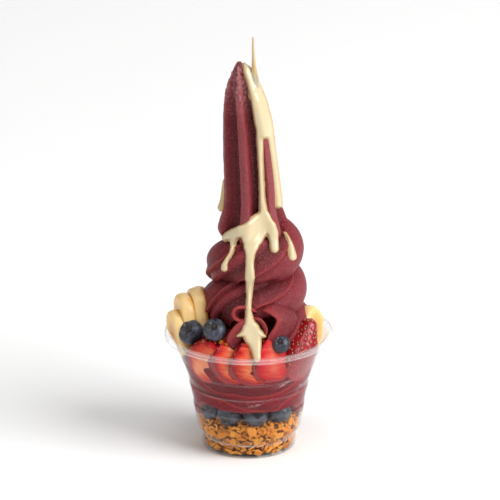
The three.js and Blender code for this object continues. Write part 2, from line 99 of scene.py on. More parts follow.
def add_node(tree: NodeTree, kind: str, inputs: dict[str | int, Any] | None = None,
             stops: Sequence[tuple[float, Colour]] = (), **settings: Any) -> Node:
    """Adds a node with its settings, and sets or links its inputs.

    Args:
        tree: the tree that gets the node.
        kind: the node's type, such as "ShaderNodeMix".
        inputs: for each input, by name or place, its value or the socket that feeds it.
        stops: for a colour ramp, places from 0 to 1 with their colours.
        settings: the node's own properties.

    Returns:
        The new node.
    """
    node = tree.nodes.new(kind)
    for name, value in settings.items():
        setattr(node, name, value)
    for key, value in (inputs or {}).items():
        usable = [socket for socket in node.inputs if socket.enabled and socket.name == key]
        socket = node.inputs[key] if isinstance(key, int) else usable[0]
        if isinstance(value, NodeSocket):
            tree.links.new(value, socket)
        else:
            socket.default_value = value
    if stops:
        elements = node.color_ramp.elements
        for _ in stops[2:]:
            elements.new(0.5)
        for element, (place, colour) in zip(elements, stops):
            element.position = place
            element.color = colour
    return node


def numbers(rows: Sequence[Any]) -> Any:
    """A dataclass field that holds a table of numbers.

    Args:
        rows: the table's rows.

    Returns:
        The field.
    """
    return field(default_factory=lambda: np.array(rows, float))


def heading(turns: Array | float) -> Array:
    """Unit vectors on the level that look out at turns, in degrees."""
    angle = np.radians(np.asarray(turns, float))
    return np.stack([np.sin(angle), -np.cos(angle), np.zeros_like(angle)], -1)


def unit(vectors: Array) -> Array:
    """Vectors along the last axis, each with length 1."""
    return vectors / np.linalg.norm(vectors, axis=-1, keepdims=True)


def rows_at(table: Array, values: Array | float) -> Array:
    """Rows of a table at values of its first column, on smooth curves through its rows.

    Args:
        table: rows that rise in their first column.
        values: where to read it.

    Returns:
        One row of the other columns for each value.
    """
    x, y = table[:, 0], table[:, 1:]
    slope = np.gradient(y, x, axis=0)
    at = np.atleast_1d(np.asarray(values, float))
    i = np.clip(np.searchsorted(x, at, side="right") - 1, 0, len(x) - 2)
    span = (x[i + 1] - x[i])[:, None]
    t = (at[:, None] - x[i][:, None]) / span
    return ((2 * t**3 - 3 * t**2 + 1) * y[i] + (t**3 - 2 * t**2 + t) * span * slope[i]
            + (3 * t**2 - 2 * t**3) * y[i + 1] + (t**3 - t**2) * span * slope[i + 1])


def step_between(low: float, high: float, values: Array) -> Array:
    """0 below low, 1 above high, and smooth between."""
    t = np.clip((values - low) / (high - low), 0, 1)
    return t * t * (3 - 2 * t)


def noise_at(points: Array, size: float, shift: float = 0.0) -> Array:
    """Smooth noise from about -1 to 1 at points, with features of a size in millimetres."""
    offset = Vector((shift, 2 * shift, 3 * shift))
    return np.array([noise.noise(Vector(p) / size + offset) for p in points])


def inner_radius(heights: Array) -> Array:
    """The inside of the tumbler's wall; above the rim there is no limit.

    Args:
        heights: millimetres above the base.

    Returns:
        The radius at each height.
    """
    line = WALL_LINE[SIDE_ROWS]
    radius = np.interp(heights, line[:, 1], line[:, 0]) - WALL / 2
    return np.where(heights > CUP_HEIGHT, NO_WALL, radius)


def keep_in_cup(points: Array, into_wall: float = PRESSED_IN) -> Array:
    """Points moved in where they would pass through the tumbler's wall or base.

    Args:
        points: places in millimetres.
        into_wall: how far they may reach into the wall.

    Returns:
        The places that the cup allows.
    """
    kept = points.copy()
    radius = np.hypot(kept[:, 0], kept[:, 1])
    limit = inner_radius(kept[:, 2]) + into_wall
    share = np.where(radius > limit, limit / np.maximum(radius, 1e-6), 1.0)
    kept[:, :2] *= share[:, None]
    kept[:, 2] = np.maximum(kept[:, 2], BASE_TOP - into_wall)
    return kept


def from_sight(seen: Array) -> Array:
    """Places given as seen from the front, in the cup's frame.

    Args:
        seen: how far across, how far up and the depth Y of each place.

    Returns:
        X, Y and Z of each place.
    """
    tilt = math.radians(SIGHT_TILT)
    height = (seen[..., 1] - math.sin(tilt) * seen[..., 2]) / math.cos(tilt)
    return np.stack([seen[..., 0], seen[..., 2], height], -1)


def along_view(across: float, high: float) -> tuple[Vector, Vector]:
    """A ray along the front view.

    Args:
        across: how far right of the cup's axis it is seen.
        high: how far up it is seen.

    Returns:
        Where the ray starts and its way.
    """
    up, along = view_axes()
    return Vector(across * np.array([1.0, 0, 0]) + high * up - VIEW_START * along), Vector(along)


@dataclass
class Skin:
    """The points, in millimetres, and faces of a surface, with named values at its points."""

    points: Array
    faces: list[tuple[int, ...]]
    values: dict[str, Array] = field(default_factory=dict)

    @staticmethod
    def loft(rings: Array, values: dict[str, Array] | None = None) -> Skin:
        """A closed skin over rings of points.

        Args:
            rings: an array of rings by points by 3.
            values: for each name, one value for each point of each ring.

        Returns:
            The skin, each end closed round its middle.
        """
        count, around, _ = rings.shape
        here = np.arange(around)
        after = (here + 1) % around
        starts = around * np.arange(count - 1)[:, None]
        next_here, next_after = starts + around + here, starts + around + after
        sides = np.stack([starts + here, starts + after, next_after, next_here], -1)
        first, last, end = count * around, count * around + 1, (count - 1) * around
        faces = [tuple(face) for face in sides.reshape(-1, 4)]
        faces += [(first, int(b), int(a)) for a, b in zip(here, after)]
        faces += [(last, int(end + a), int(end + b)) for a, b in zip(here, after)]
        points = np.concatenate([rings.reshape(-1, 3), rings[[0, -1]].mean(1)])
        spread = {}
        for name, value in (values or {}).items():
            full = np.broadcast_to(value, (count, around, *value.shape[2:]))
            ends = full[[0, -1]].mean(1)
            spread[name] = np.concatenate([full.reshape(-1, *value.shape[2:]), ends])
        return Skin(points, faces, spread)

    @staticmethod
    def turned(outline: Array, steps: int) -> Skin:
        """A skin turned about the cup's axis.

        Args:
            outline: [r, z] points that start and end on the axis.
            steps: how many points go round.

        Returns:
            The closed skin.
        """
        around = heading(np.arange(steps) * 360.0 / steps)
        radius, height = outline[1:-1].T[:, :, None, None]
        skin = Skin.loft(around[None] * radius + height * UPWARD)
        skin.points[-2:] = [[0, 0, outline[0, 1]], [0, 0, outline[-1, 1]]]
        return skin

    def to_object(self, name: str, *materials: Material) -> Object:
        """An object of this skin, faces out and smooth.

        Args:
            name: the object's name.
            materials: its finishes.

        Returns:
            The object, at the origin, with its place in its mesh.
        """
        mesh = bpy.data.meshes.new(name)
        mesh.from_pydata((self.points * MM).tolist(), [], [tuple(map(int, face)) for face in self.faces])
        for key, value in self.values.items():
            kind, field_name = ("FLOAT_VECTOR", "vector") if value.ndim == 2 else ("FLOAT", "value")
            attribute = mesh.attributes.new(key, kind, "POINT")
            attribute.data.foreach_set(field_name, value.astype(np.float32).ravel())
        work = bmesh.new()
        work.from_mesh(mesh)
        if work.calc_volume(signed=True) < 0:
            bmesh.ops.reverse_faces(work, faces=work.faces)
            work.to_mesh(mesh)
        work.free()
        mesh.shade_smooth()
        return placed_object(name, mesh, *materials)


def placed_object(name: str, mesh: Mesh, *materials: Material) -> Object:
    """An object of a mesh, linked to the scene.

    Args:
        name: the object's name.
        mesh: its mesh.
        materials: its finishes.

    Returns:
        The object, at the origin.
    """
    for material in materials:
        mesh.materials.append(material)
    obj = bpy.data.objects.new(name, mesh)
    bpy.context.scene.collection.objects.link(obj)
    return obj


def settled(obj: Object) -> Object:
    """Turns the result of the object's modifiers into its own plain mesh.

    Args:
        obj: an object with modifiers.

    Returns:
        The same object, without modifiers.
    """
    graph = bpy.context.evaluated_depsgraph_get()
    mesh = bpy.data.meshes.new_from_object(obj.evaluated_get(graph), depsgraph=graph)
    old = obj.data
    obj.modifiers.clear()
    obj.data = mesh
    mesh.name = obj.name
    if old.users == 0:
        bpy.data.meshes.remove(old)
    return obj


def joined_by_union(parts: Sequence[Object]) -> Object:
    """One body of closed parts; the first takes in the others.

    Args:
        parts: closed objects that reach into each other.

    Returns:
        The first object, now all of them.
    """
    whole, *others = parts
    for other in others:
        union = whole.modifiers.new("union", "BOOLEAN")
        union.operation = "UNION"
        union.solver = "MANIFOLD"
        union.object = other
    settled(whole)
    for other in others:
        bpy.data.objects.remove(other)
    return whole


def points_of(obj: Object) -> Array:
    """The object's points.

    Args:
        obj: an object at the origin.

    Returns:
        One row for each point, in millimetres.
    """
    flat = np.empty(3 * len(obj.data.vertices))
    obj.data.vertices.foreach_get("co", flat)
    return flat.reshape(-1, 3) / MM


def surface_tree(objects: Sequence[Object]) -> BVHTree:
    """The faces of objects, ready for rays.

    Args:
        objects: objects at the origin.

    Returns:
        Their faces in one tree, in millimetres.
    """
    points, faces = [], []
    for obj in objects:
        start = sum(len(part) for part in points)
        points.append(points_of(obj))
        faces += [[start + i for i in face.vertices] for face in obj.data.polygons]
    return BVHTree.FromPolygons(np.concatenate(points).tolist(), faces)


def view_axes() -> tuple[Array, Array]:
    """The way up in the front view, and the way that it looks along."""
    tilt = math.radians(SIGHT_TILT)
    return np.array([0, math.sin(tilt), math.cos(tilt)]), np.array([0, math.cos(tilt), -math.sin(tilt)])


def set_points(obj: Object, points: Array) -> None:
    """Moves the object's points to places in millimetres."""
    obj.data.vertices.foreach_set("co", (points * MM).ravel())
    obj.data.update()


def set_values(obj: Object, name: str, values: Array) -> None:
    """Writes a named value at each point of the object."""
    attribute = obj.data.attributes.get(name) or obj.data.attributes.new(name, "FLOAT", "POINT")
    attribute.data.foreach_set("value", values.astype(np.float32))


def placing(at: Sequence[float], faces: float = 0, lean: float = 0, roll: float = 0) -> Array:
    """The matrix that puts a piece in place.

    Args:
        at: its middle, in millimetres.
        faces: the heading that its front looks along, in degrees.
        lean: how far it leans back, in degrees.
        roll: how far it is rolled about its own front axis, in degrees.

    Returns:
        A 4 by 4 matrix in millimetres.
    """
    turn = (Matrix.Rotation(math.radians(faces), 4, "Z") @ Matrix.Rotation(math.radians(-lean), 4, "X")
            @ Matrix.Rotation(math.radians(roll), 4, "Y"))
    return np.array(Matrix.Translation(at) @ turn)


def moved(points: Array, matrix: Array) -> Array:
    """Points moved by a 4 by 4 matrix."""
    return points @ matrix[:3, :3].T + matrix[:3, 3]


def hand_over(obj: Object, slot: str, *nodes: str) -> None:
    """Says which body a piece rides on and which nodes it stands for.

    Args:
        obj: the finished piece.
        slot: the record's material slot; not used.
        nodes: the CAD nodes that it replaces.
    """
    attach(obj, BODY)
    if nodes:
        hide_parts(*nodes)
    LOG.info("%s: %d points, for %s", obj.name, len(obj.data.vertices), ", ".join(nodes) or "nothing in CAD")


# ---- Finishes ----


@dataclass(frozen=True)
class Finish:
    """A finish as a recipe: named patterns, and the colours and the surface that they drive."""

    name: str = ""
    ior: float = 1.5
    attributes: tuple[str, ...] = ()  # patterns that the piece carries at its points
    slice_scale: tuple[float, ...] = ()  # if given, the noises follow the slice, with its place so scaled
    noises: Rows = ()  # name, size in millimetres, detail, roughness and distortion
    ranges: Rows = ()  # name, source, its low and high, and what these become
    body: str = "#ffffff"
    along: tuple[str, ...] = ()  # the two patterns whose sum picks a colour between the stops
    stops: Rows = ()  # place and colour
    layers: Rows = ()  # pattern and colour, from the lowest up
    relief: tuple[Any, ...] = ()  # pattern, strength and height in millimetres
    roughness: float | str = 0.5  # a number or a pattern
    soft: tuple[Any, ...] = ()  # share of light that goes in, its radius, and scale in millimetres
    coat: tuple[float, ...] = ()  # weight and roughness of a clear coat

    def patterns(self, tree: NodeTree) -> dict[str, NodeSocket]:
        """Makes the recipe's patterns.

        Args:
            tree: the material's tree.

        Returns:
            Each pattern's output by its name.
        """
        at = {name: add_node(tree, "ShaderNodeAttribute", attribute_name=name).outputs["Fac"]
              for name in self.attributes}
        if self.slice_scale:
            place = add_node(tree, "ShaderNodeAttribute", attribute_name="place").outputs["Vector"]
            space = add_node(tree, "ShaderNodeMapping", {
                "Vector": place, "Scale": self.slice_scale}).outputs[0]
        else:
            space = add_node(tree, "ShaderNodeTexCoord").outputs["Object"]
        scale = 1.0 if self.slice_scale else MM
        for name, size, detail, roughness, distortion in self.noises:
            at[name] = add_node(tree, "ShaderNodeTexNoise", {
                "Vector": space, "Scale": 1 / (size * scale), "Detail": detail, "Roughness": roughness,
                "Distortion": distortion}).outputs["Fac"]
        for name, source, *limits in self.ranges:
            names = ("From Min", "From Max", "To Min", "To Max")
            at[name] = add_node(tree, "ShaderNodeMapRange", {
                "Value": at[source], **dict(zip(names, limits))}).outputs[0]
        return at

    def colour(self, tree: NodeTree, at: dict[str, NodeSocket]) -> Any:
        """Mixes the colour.

        Args:
            tree: the material's tree.
            at: the patterns.

        Returns:
            The colour, or its socket.
        """
        base = srgb(self.body)
        if self.stops:
            first, second = self.along
            total = add_node(tree, "ShaderNodeMath", {0: at[first], 1: at[second]}, operation="ADD")
            base = add_node(tree, "ShaderNodeValToRGB", {"Fac": total.outputs[0]}, [
                (place, srgb(code)) for place, code in self.stops]).outputs["Color"]
        for name, code in self.layers:
            mix = add_node(tree, "ShaderNodeMix", {0: at[name], 6: base, 7: srgb(code)}, data_type="RGBA")
            base = mix.outputs[2]
        return base

    def shader(self, tree: NodeTree) -> NodeSocket:
        """Makes the finish's shader.

        Args:
            tree: the material's tree.

        Returns:
            The shader's output.
        """
        at = self.patterns(tree)
        inputs = {"Base Color": self.colour(tree, at), "Roughness": at.get(self.roughness, self.roughness),
                  "IOR": self.ior, **dict(zip(("Coat Weight", "Coat Roughness"), self.coat))}
        if self.soft:
            share, radius, scale = self.soft
            inputs |= {"Subsurface Weight": share, "Subsurface Radius": radius,
                       "Subsurface Scale": scale * MM}
        if self.relief:
            pattern, strength, height = self.relief
            inputs["Normal"] = add_node(tree, "ShaderNodeBump", {
                "Height": at[pattern], "Strength": strength, "Distance": height * MM}).outputs[0]
        return add_node(tree, "ShaderNodeBsdfPrincipled", inputs).outputs[0]

    def material(self) -> Material:
        """The finish as a Blender material.

        Returns:
            The material, with the finish's shader as its surface.
        """
        material = bpy.data.materials.new(self.name)
        material.use_nodes = True
        tree = material.node_tree
        tree.nodes.clear()
        add_node(tree, "ShaderNodeOutputMaterial", {"Surface": self.shader(tree)})
        return material


@dataclass(frozen=True)
class ClearPet(Finish):
    """Thermoformed PET sheet: clear and glossy, with a trace of white haze, and light grey seen edge on; its
    rolled rim is hazier, and lines of white haze on its corners are painted highlights.
    """

    name: str = "clear_pet"
    # The rim pattern: the rolled rim's haze, and painted highlight lines on the corners
    attributes: tuple[str, ...] = ("rim",)
    body: str = "#fefefe"
    layers: Rows = (("steep", "#e4e4e0"),)
    white: str = "#ffffff"  # of its haze and gloss
    powers: Rows = (("steep", 4.4), ("grazing", 5.0))  # how late each sets in as it is seen edge on
    haze: tuple[float, float] = (0.002, 0.2)  # share of haze when seen head on and edge on
    gloss: tuple[float, float] = (0.006, 0.55)  # share that one surface reflects, likewise
    rim_haze: float = 0.05  # more haze where the sheet is rolled into the rim, and on the painted highlight lines of its corners
    roughness: float | str = 0.06

    def shader(self, tree: NodeTree) -> NodeSocket:
        """Clear, hazy and glossy shares, by how steeply the sheet is seen.

        Args:
            tree: the material's tree.

        Returns:
            The shader's output.
        """
        at = self.patterns(tree)
        facing = add_node(tree, "ShaderNodeLayerWeight", {"Blend": 0.5}).outputs["Facing"]
        for name, power in self.powers:
            at[name] = add_node(tree, "ShaderNodeMath", {0: facing, 1: power}, operation="POWER").outputs[0]
        hazy, shiny = (add_node(tree, "ShaderNodeMapRange", {
            "Value": at["grazing"], "To Min": low, "To Max": high}).outputs[0]
            for low, high in (self.haze, self.gloss))
        more = add_node(tree, "ShaderNodeMath", {0: at["rim"], 1: self.rim_haze, 2: hazy},
                        operation="MULTIPLY_ADD").outputs[0]
        clear = add_node(tree, "ShaderNodeBsdfTransparent", {"Color": self.colour(tree, at)}).outputs[0]
        haze = add_node(tree, "ShaderNodeBsdfDiffuse", {"Color": srgb(self.white)}).outputs[0]
        gloss = add_node(tree, "ShaderNodeBsdfGlossy", {
            "Color": srgb(self.white), "Roughness": self.roughness}).outputs[0]
        whole = clear
        for share, shader in ((more, haze), (shiny, gloss)):
            whole = add_node(tree, "ShaderNodeMixShader", {0: share, 1: whole, 2: shader}).outputs[0]
        return whole


@dataclass(frozen=True)
class AcaiCream(Finish):
    """Frozen acai cream: a satin wine red, with painted shade in its grooves and hollows; each lip is
    brighter, partly as thin cream and partly as a painted highlight; with a fine grain of ice.

    Frost stands for ice on the spire's tip, and for a painted whitish highlight where a smear has air behind
    the wall. Ice crystals are finer than the grain, which is drawn as coarse as the render shows; its light
    specks are partly ice and partly painted glints.
    """

    name: str = "frozen_acai_cream"
    ior: float = 1.35
    attributes: tuple[str, ...] = ("lip", "groove", "lines", "frost")
    noises: Rows = (("grain", 1.0, 3.0, 0.6, 0.0), ("cloud", 11.0, 2.0, 0.5, 0.0))
    # Light ice specks in the grain, partly painted glints
    ranges: Rows = (("patchy", "cloud", 0.35, 0.65, 0.0, 0.35), ("icy_glints", "grain", 0.50, 0.63, 0.0, 0.42),
                    ("rough", "grain", 0.0, 1.0, 0.36, 0.56))
    body: str = "#7f242c"
    # Layers: painted shade in grooves and hollows, light ice specks that are partly painted glints, lips
    # brighter partly as thin cream and partly as painted highlight, and the painted whitish highlight of
    # smears, or ice on the tip
    layers: Rows = (("patchy", "#6b1f28"), ("groove", "#4e0f13"), ("icy_glints", "#a65256"), ("lip", "#a63a38"),
                    ("frost", "#b98f92"))
    line_mm: float = 1.3  # spacing of the lines that the nozzle draws along the rope
    line_share: float = 0.045  # how high they are beside the grain
    relief: tuple[Any, ...] = ("lined_grain", 1.0, 0.65)
    roughness: float | str = "rough"
    soft: tuple[Any, ...] = (0.12, (1.0, 0.35, 0.3), 1.2)

    def patterns(self, tree: NodeTree) -> dict[str, NodeSocket]:
        """Makes the recipe's patterns, and the grain with the nozzle's lines on it.

        Args:
            tree: the material's tree.

        Returns:
            Each pattern's output by its name.
        """
        at = super().patterns(tree)
        phase = add_node(tree, "ShaderNodeMath", {0: at["lines"], 1: 2 * math.pi / self.line_mm},
                         operation="MULTIPLY")
        wave = add_node(tree, "ShaderNodeMath", {0: phase.outputs[0]}, operation="SINE")
        at["lined_grain"] = add_node(tree, "ShaderNodeMath", {
            0: wave.outputs[0], 1: self.line_share, 2: at["grain"]}, operation="MULTIPLY_ADD").outputs[0]
        return at


@dataclass(frozen=True)
class CondensedMilk(Finish):
    """Sweetened condensed milk: thick, creamy ivory, glossy like wet paint, browner at its outline, partly
    where it is thin and partly as painted shade of its rounded edge.
    """

    name: str = "condensed_milk"
    ior: float = 1.47
    attributes: tuple[str, ...] = ("thin",)
    noises: Rows = (("ripple", 9.0, 1.0, 0.5, 0.0),)
    body: str = "#dac9a4"
    # Browner at the outline: painted shade of the rounded edge, and thin milk
    layers: Rows = (("thin", "#b98f4e"),)
    relief: tuple[Any, ...] = ("ripple", 0.15, 1.5)
    roughness: float | str = 0.16
    soft: tuple[Any, ...] = (0.35, (1.0, 0.75, 0.45), 1.6)
    coat: tuple[float, ...] = (0.3, 0.05)


@dataclass(frozen=True)
class ToastedOats(Finish):
    """Oat granola baked with syrup: golden brown with a slight glaze, darker in its pits; the gaps show the
    core's painted shade.
    """

    name: str = "toasted_oats"
    ior: float = 1.3
    attributes: tuple[str, ...] = ("tint", "edge")
    noises: Rows = (("mottle", 1.5, 5.0, 0.75, 0.0),)
    ranges: Rows = (("uneven", "mottle", 0.0, 1.0, -0.5, 0.5),)
    along: tuple[str, ...] = ("tint", "uneven")
    stops: Rows = ((0.26, "#743206"), (0.47, "#e28322"), (0.74, "#f4aa48"))
    layers: Rows = (("edge", "#f4aa48"),)
    relief: tuple[Any, ...] = ("mottle", 0.7, 0.6)
    roughness: float | str = 0.55
    soft: tuple[Any, ...] = (0.08, (1.0, 0.5, 0.2), 1.0)


@dataclass(frozen=True)
class ShadedOats(Finish):
    """What shows between the flakes deep in the heap: oats in shade, nearly black brown."""

    name: str = "shaded_oats"
    noises: Rows = (("mottle", 3.0, 4.0, 0.5, 0.0),)
    body: str = "#3a1a08"
    layers: Rows = (("mottle", "#8a4c1a"),)
    roughness: float | str = 0.9


@dataclass(frozen=True)
class BlueberrySkin(Finish):
    """Blueberry skin: inky blue black under an uneven waxy bloom, brown and dry at the crown."""

    name: str = "blueberry_skin"
    attributes: tuple[str, ...] = ("crown",)
    noises: Rows = (("cloud", 3.6, 5.0, 0.65, 0.8), ("dust", 0.8, 2.0, 0.5, 0.0))
    ranges: Rows = (("bloom", "cloud", 0.40, 0.64, 0.03, 0.85), ("rubbed", "dust", 0.5, 0.75, 0.0, 0.35),
                    ("rough", "cloud", 0.3, 0.7, 0.32, 0.62))
    body: str = "#191a23"
    layers: Rows = (("bloom", "#565c6e"), ("rubbed", "#191a23"), ("crown", "#1c1312"))
    relief: tuple[Any, ...] = ("dust", 0.15, 0.2)
    roughness: float | str = "rough"
    coat: tuple[float, ...] = (0.15, 0.3)


@dataclass(frozen=True)
class StrawberryFlesh(Finish):
    """Cut strawberry: wet orange red with pale rays from a light heart to a deep red rim."""

    name: str = "cut_strawberry"
    ior: float = 1.30
    attributes: tuple[str, ...] = ("share", "ripe")
    slice_scale: tuple[float, ...] = (0.10, 0.4, 1.1)
    noises: Rows = (("rays", 1.0, 3.0, 0.55, 0.4),)
    ranges: Rows = (("reach", "rays", 0.34, 0.66, -0.22, 0.22),)
    along: tuple[str, ...] = ("share", "reach")
    stops: Rows = ((0.02, "#ee9468"), (0.20, "#e36c42"), (0.66, "#c82d1b"), (0.92, "#96070f"))
    layers: Rows = (("ripe", "#c40c2a"),)
    relief: tuple[Any, ...] = ("rays", 0.22, 0.5)
    roughness: float | str = 0.36
    soft: tuple[Any, ...] = (0.25, (1.0, 0.3, 0.2), 1.6)
    coat: tuple[float, ...] = (0.05, 0.12)


@dataclass(frozen=True)
class StrawberrySkin(Finish):
    """Strawberry skin: wet and deep red, with painted shade in the dimples that hold the seeds."""

    name: str = "strawberry_skin"
    attributes: tuple[str, ...] = ("dimple",)
    noises: Rows = (("mottle", 3.0, 3.0, 0.5, 0.0),)
    body: str = "#900614"
    # Painted shade in the seeds' dimples
    layers: Rows = (("mottle", "#ab0f1c"), ("dimple", "#4c040b"))
    relief: tuple[Any, ...] = ("mottle", 0.3, 0.5)
    roughness: float | str = 0.30
    soft: tuple[Any, ...] = (0.15, (1.0, 0.2, 0.15), 1.0)
    coat: tuple[float, ...] = (0.15, 0.2)


@dataclass(frozen=True)
class Seed(Finish):
    """Strawberry seeds: hard, dry and straw yellow."""

    name: str = "strawberry_seed"
    noises: Rows = (("mottle", 2.0, 2.0, 0.5, 0.0),)
    body: str = "#e6c48a"
    layers: Rows = (("mottle", "#a8641f"),)
    roughness: float | str = 0.4


@dataclass(frozen=True)
class BananaFlesh(Finish):
    """Cut banana: creamy, moist, amber where it is thin or in shade, with three seed rays round its heart."""

    name: str = "cut_banana"
    attributes: tuple[str, ...] = ("share",)
    slice_scale: tuple[float, ...] = (0.45, 0.45, 0.45)
    noises: Rows = (("fibre", 1.0, 4.0, 0.6, 0.0),)
    ranges: Rows = (("reach", "fibre", 0.3, 0.7, -0.10, 0.10),)
    along: tuple[str, ...] = ("share", "reach")
    stops: Rows = ((0.06, "#b87a26"), (0.20, "#d68d2a"), (0.60, "#ecb35a"), (0.9, "#f3ce8d"))
    relief: tuple[Any, ...] = ("fibre", 0.25, 0.5)
    roughness: float | str = 0.38
    soft: tuple[Any, ...] = (0.5, (1.0, 0.62, 0.22), 3.0)
    coat: tuple[float, ...] = (0.15, 0.15)


@dataclass(frozen=True)
class PalePaper(Finish):
    """The studio's floor: dull, nearly white paper."""

    name: str = "pale_floor"
    noises: Rows = (("paper", 25.0, 2.0, 0.5, 0.0),)
    body: str = "#fafafa"
    layers: Rows = (("paper", "#fcfcfb"),)

    def shader(self, tree: NodeTree) -> NodeSocket:
        """Makes the dull shader.

        Args:
            tree: the material's tree.

        Returns:
            The shader's output.
        """
        colour = self.colour(tree, self.patterns(tree))
        return add_node(tree, "ShaderNodeBsdfDiffuse", {"Color": colour}).outputs[0]


# ---- Tumbler ----


@dataclass
class Tumbler:
    """The clear cup: a thin wall with a foot band, three step rings, a flared mouth and a rolled rim."""

    steps: int = 192
    bend: float = 0.9  # how far from a corner its rounding starts
    bend_share: float = 0.45  # of the way to the next corner, at most
    bend_points: int = 5
    rolled_from: tuple[float, float] = (45.6, 46.8)  # radii between which the sheet turns into the rim
    # Corners that catch the light as a thin line, painted as white haze: radius, height and how strongly
    bright: Array = numbers([
        [27.0, 8.2, 10.0], [32.3, 26.6, 2.0], [34.6, 39.0, 3.0], [37.1, 49.2, 2.5],
        [46.4, 70.1, 8.0], [48.8, 69.7, 6.0], [48.8, 67.5, 8.0]])
    bright_reach: float = 0.45

    def rounded(self, line: Array) -> Array:
        """The wall line with each corner rounded.

        Args:
            line: [r, z] corners.

        Returns:
            The line with a short curve in place of each corner.
        """
        points = [line[0]]
        for before, corner, after in zip(line[:-2], line[1:-1], line[2:]):
            start, end = (
                corner + (other - corner) * min(self.bend_share, self.bend / np.linalg.norm(other - corner))
                for other in (before, after))
            points += [(1 - t) ** 2 * start + 2 * t * (1 - t) * corner + t**2 * end
                       for t in np.linspace(0, 1, self.bend_points)]
        return np.array([*points, line[-1]])

    def wall(self) -> Array:
        """The wall's outline.

        Returns:
            Its closed line of [r, z] points, outside first.
        """
        line = self.rounded(WALL_LINE)
        along = unit(np.gradient(line, axis=0))
        out = np.stack([along[:, 1], -along[:, 0]], -1) * WALL / 2
        outside, inside = line + out, line - out
        outside[0, 0] = inside[0, 0] = 0.0
        return np.concatenate([outside, inside[::-1]])

    def haze_and_highlight_lines(self, points: Array) -> Array:
        """How much haze the rolled rim has, with painted highlight lines of haze on the corners.

        Args:
            points: the wall's points.

        Returns:
            One value for each point, uneven round the cup.
        """
        radius = np.hypot(points[:, 0], points[:, 1])
        turn = np.arctan2(points[:, 0], -points[:, 1])
        uneven = 0.65 + 0.35 * np.sin(3 * turn + 0.7) * np.sin(5 * turn + 2.1)
        lines = np.zeros_like(radius)
        for at_radius, at_height, strength in self.bright:
            apart = np.hypot(radius - at_radius, points[:, 2] - at_height)
            lines += strength * np.exp(-((apart / self.bright_reach) ** 2))
        return step_between(*self.rolled_from, radius) + lines * uneven

    def build(self) -> None:
        """Makes the cup and puts it in place of its node."""
        skin = Skin.turned(self.wall(), self.steps)
        # The rim pattern: the rolled rim's haze plus painted highlight lines on the corners
        skin.values["rim"] = self.haze_and_highlight_lines(skin.points)
        hand_over(skin.to_object("clear_tumbler", ClearPet().material()), "cup", "cup")


# ---- Acai ----


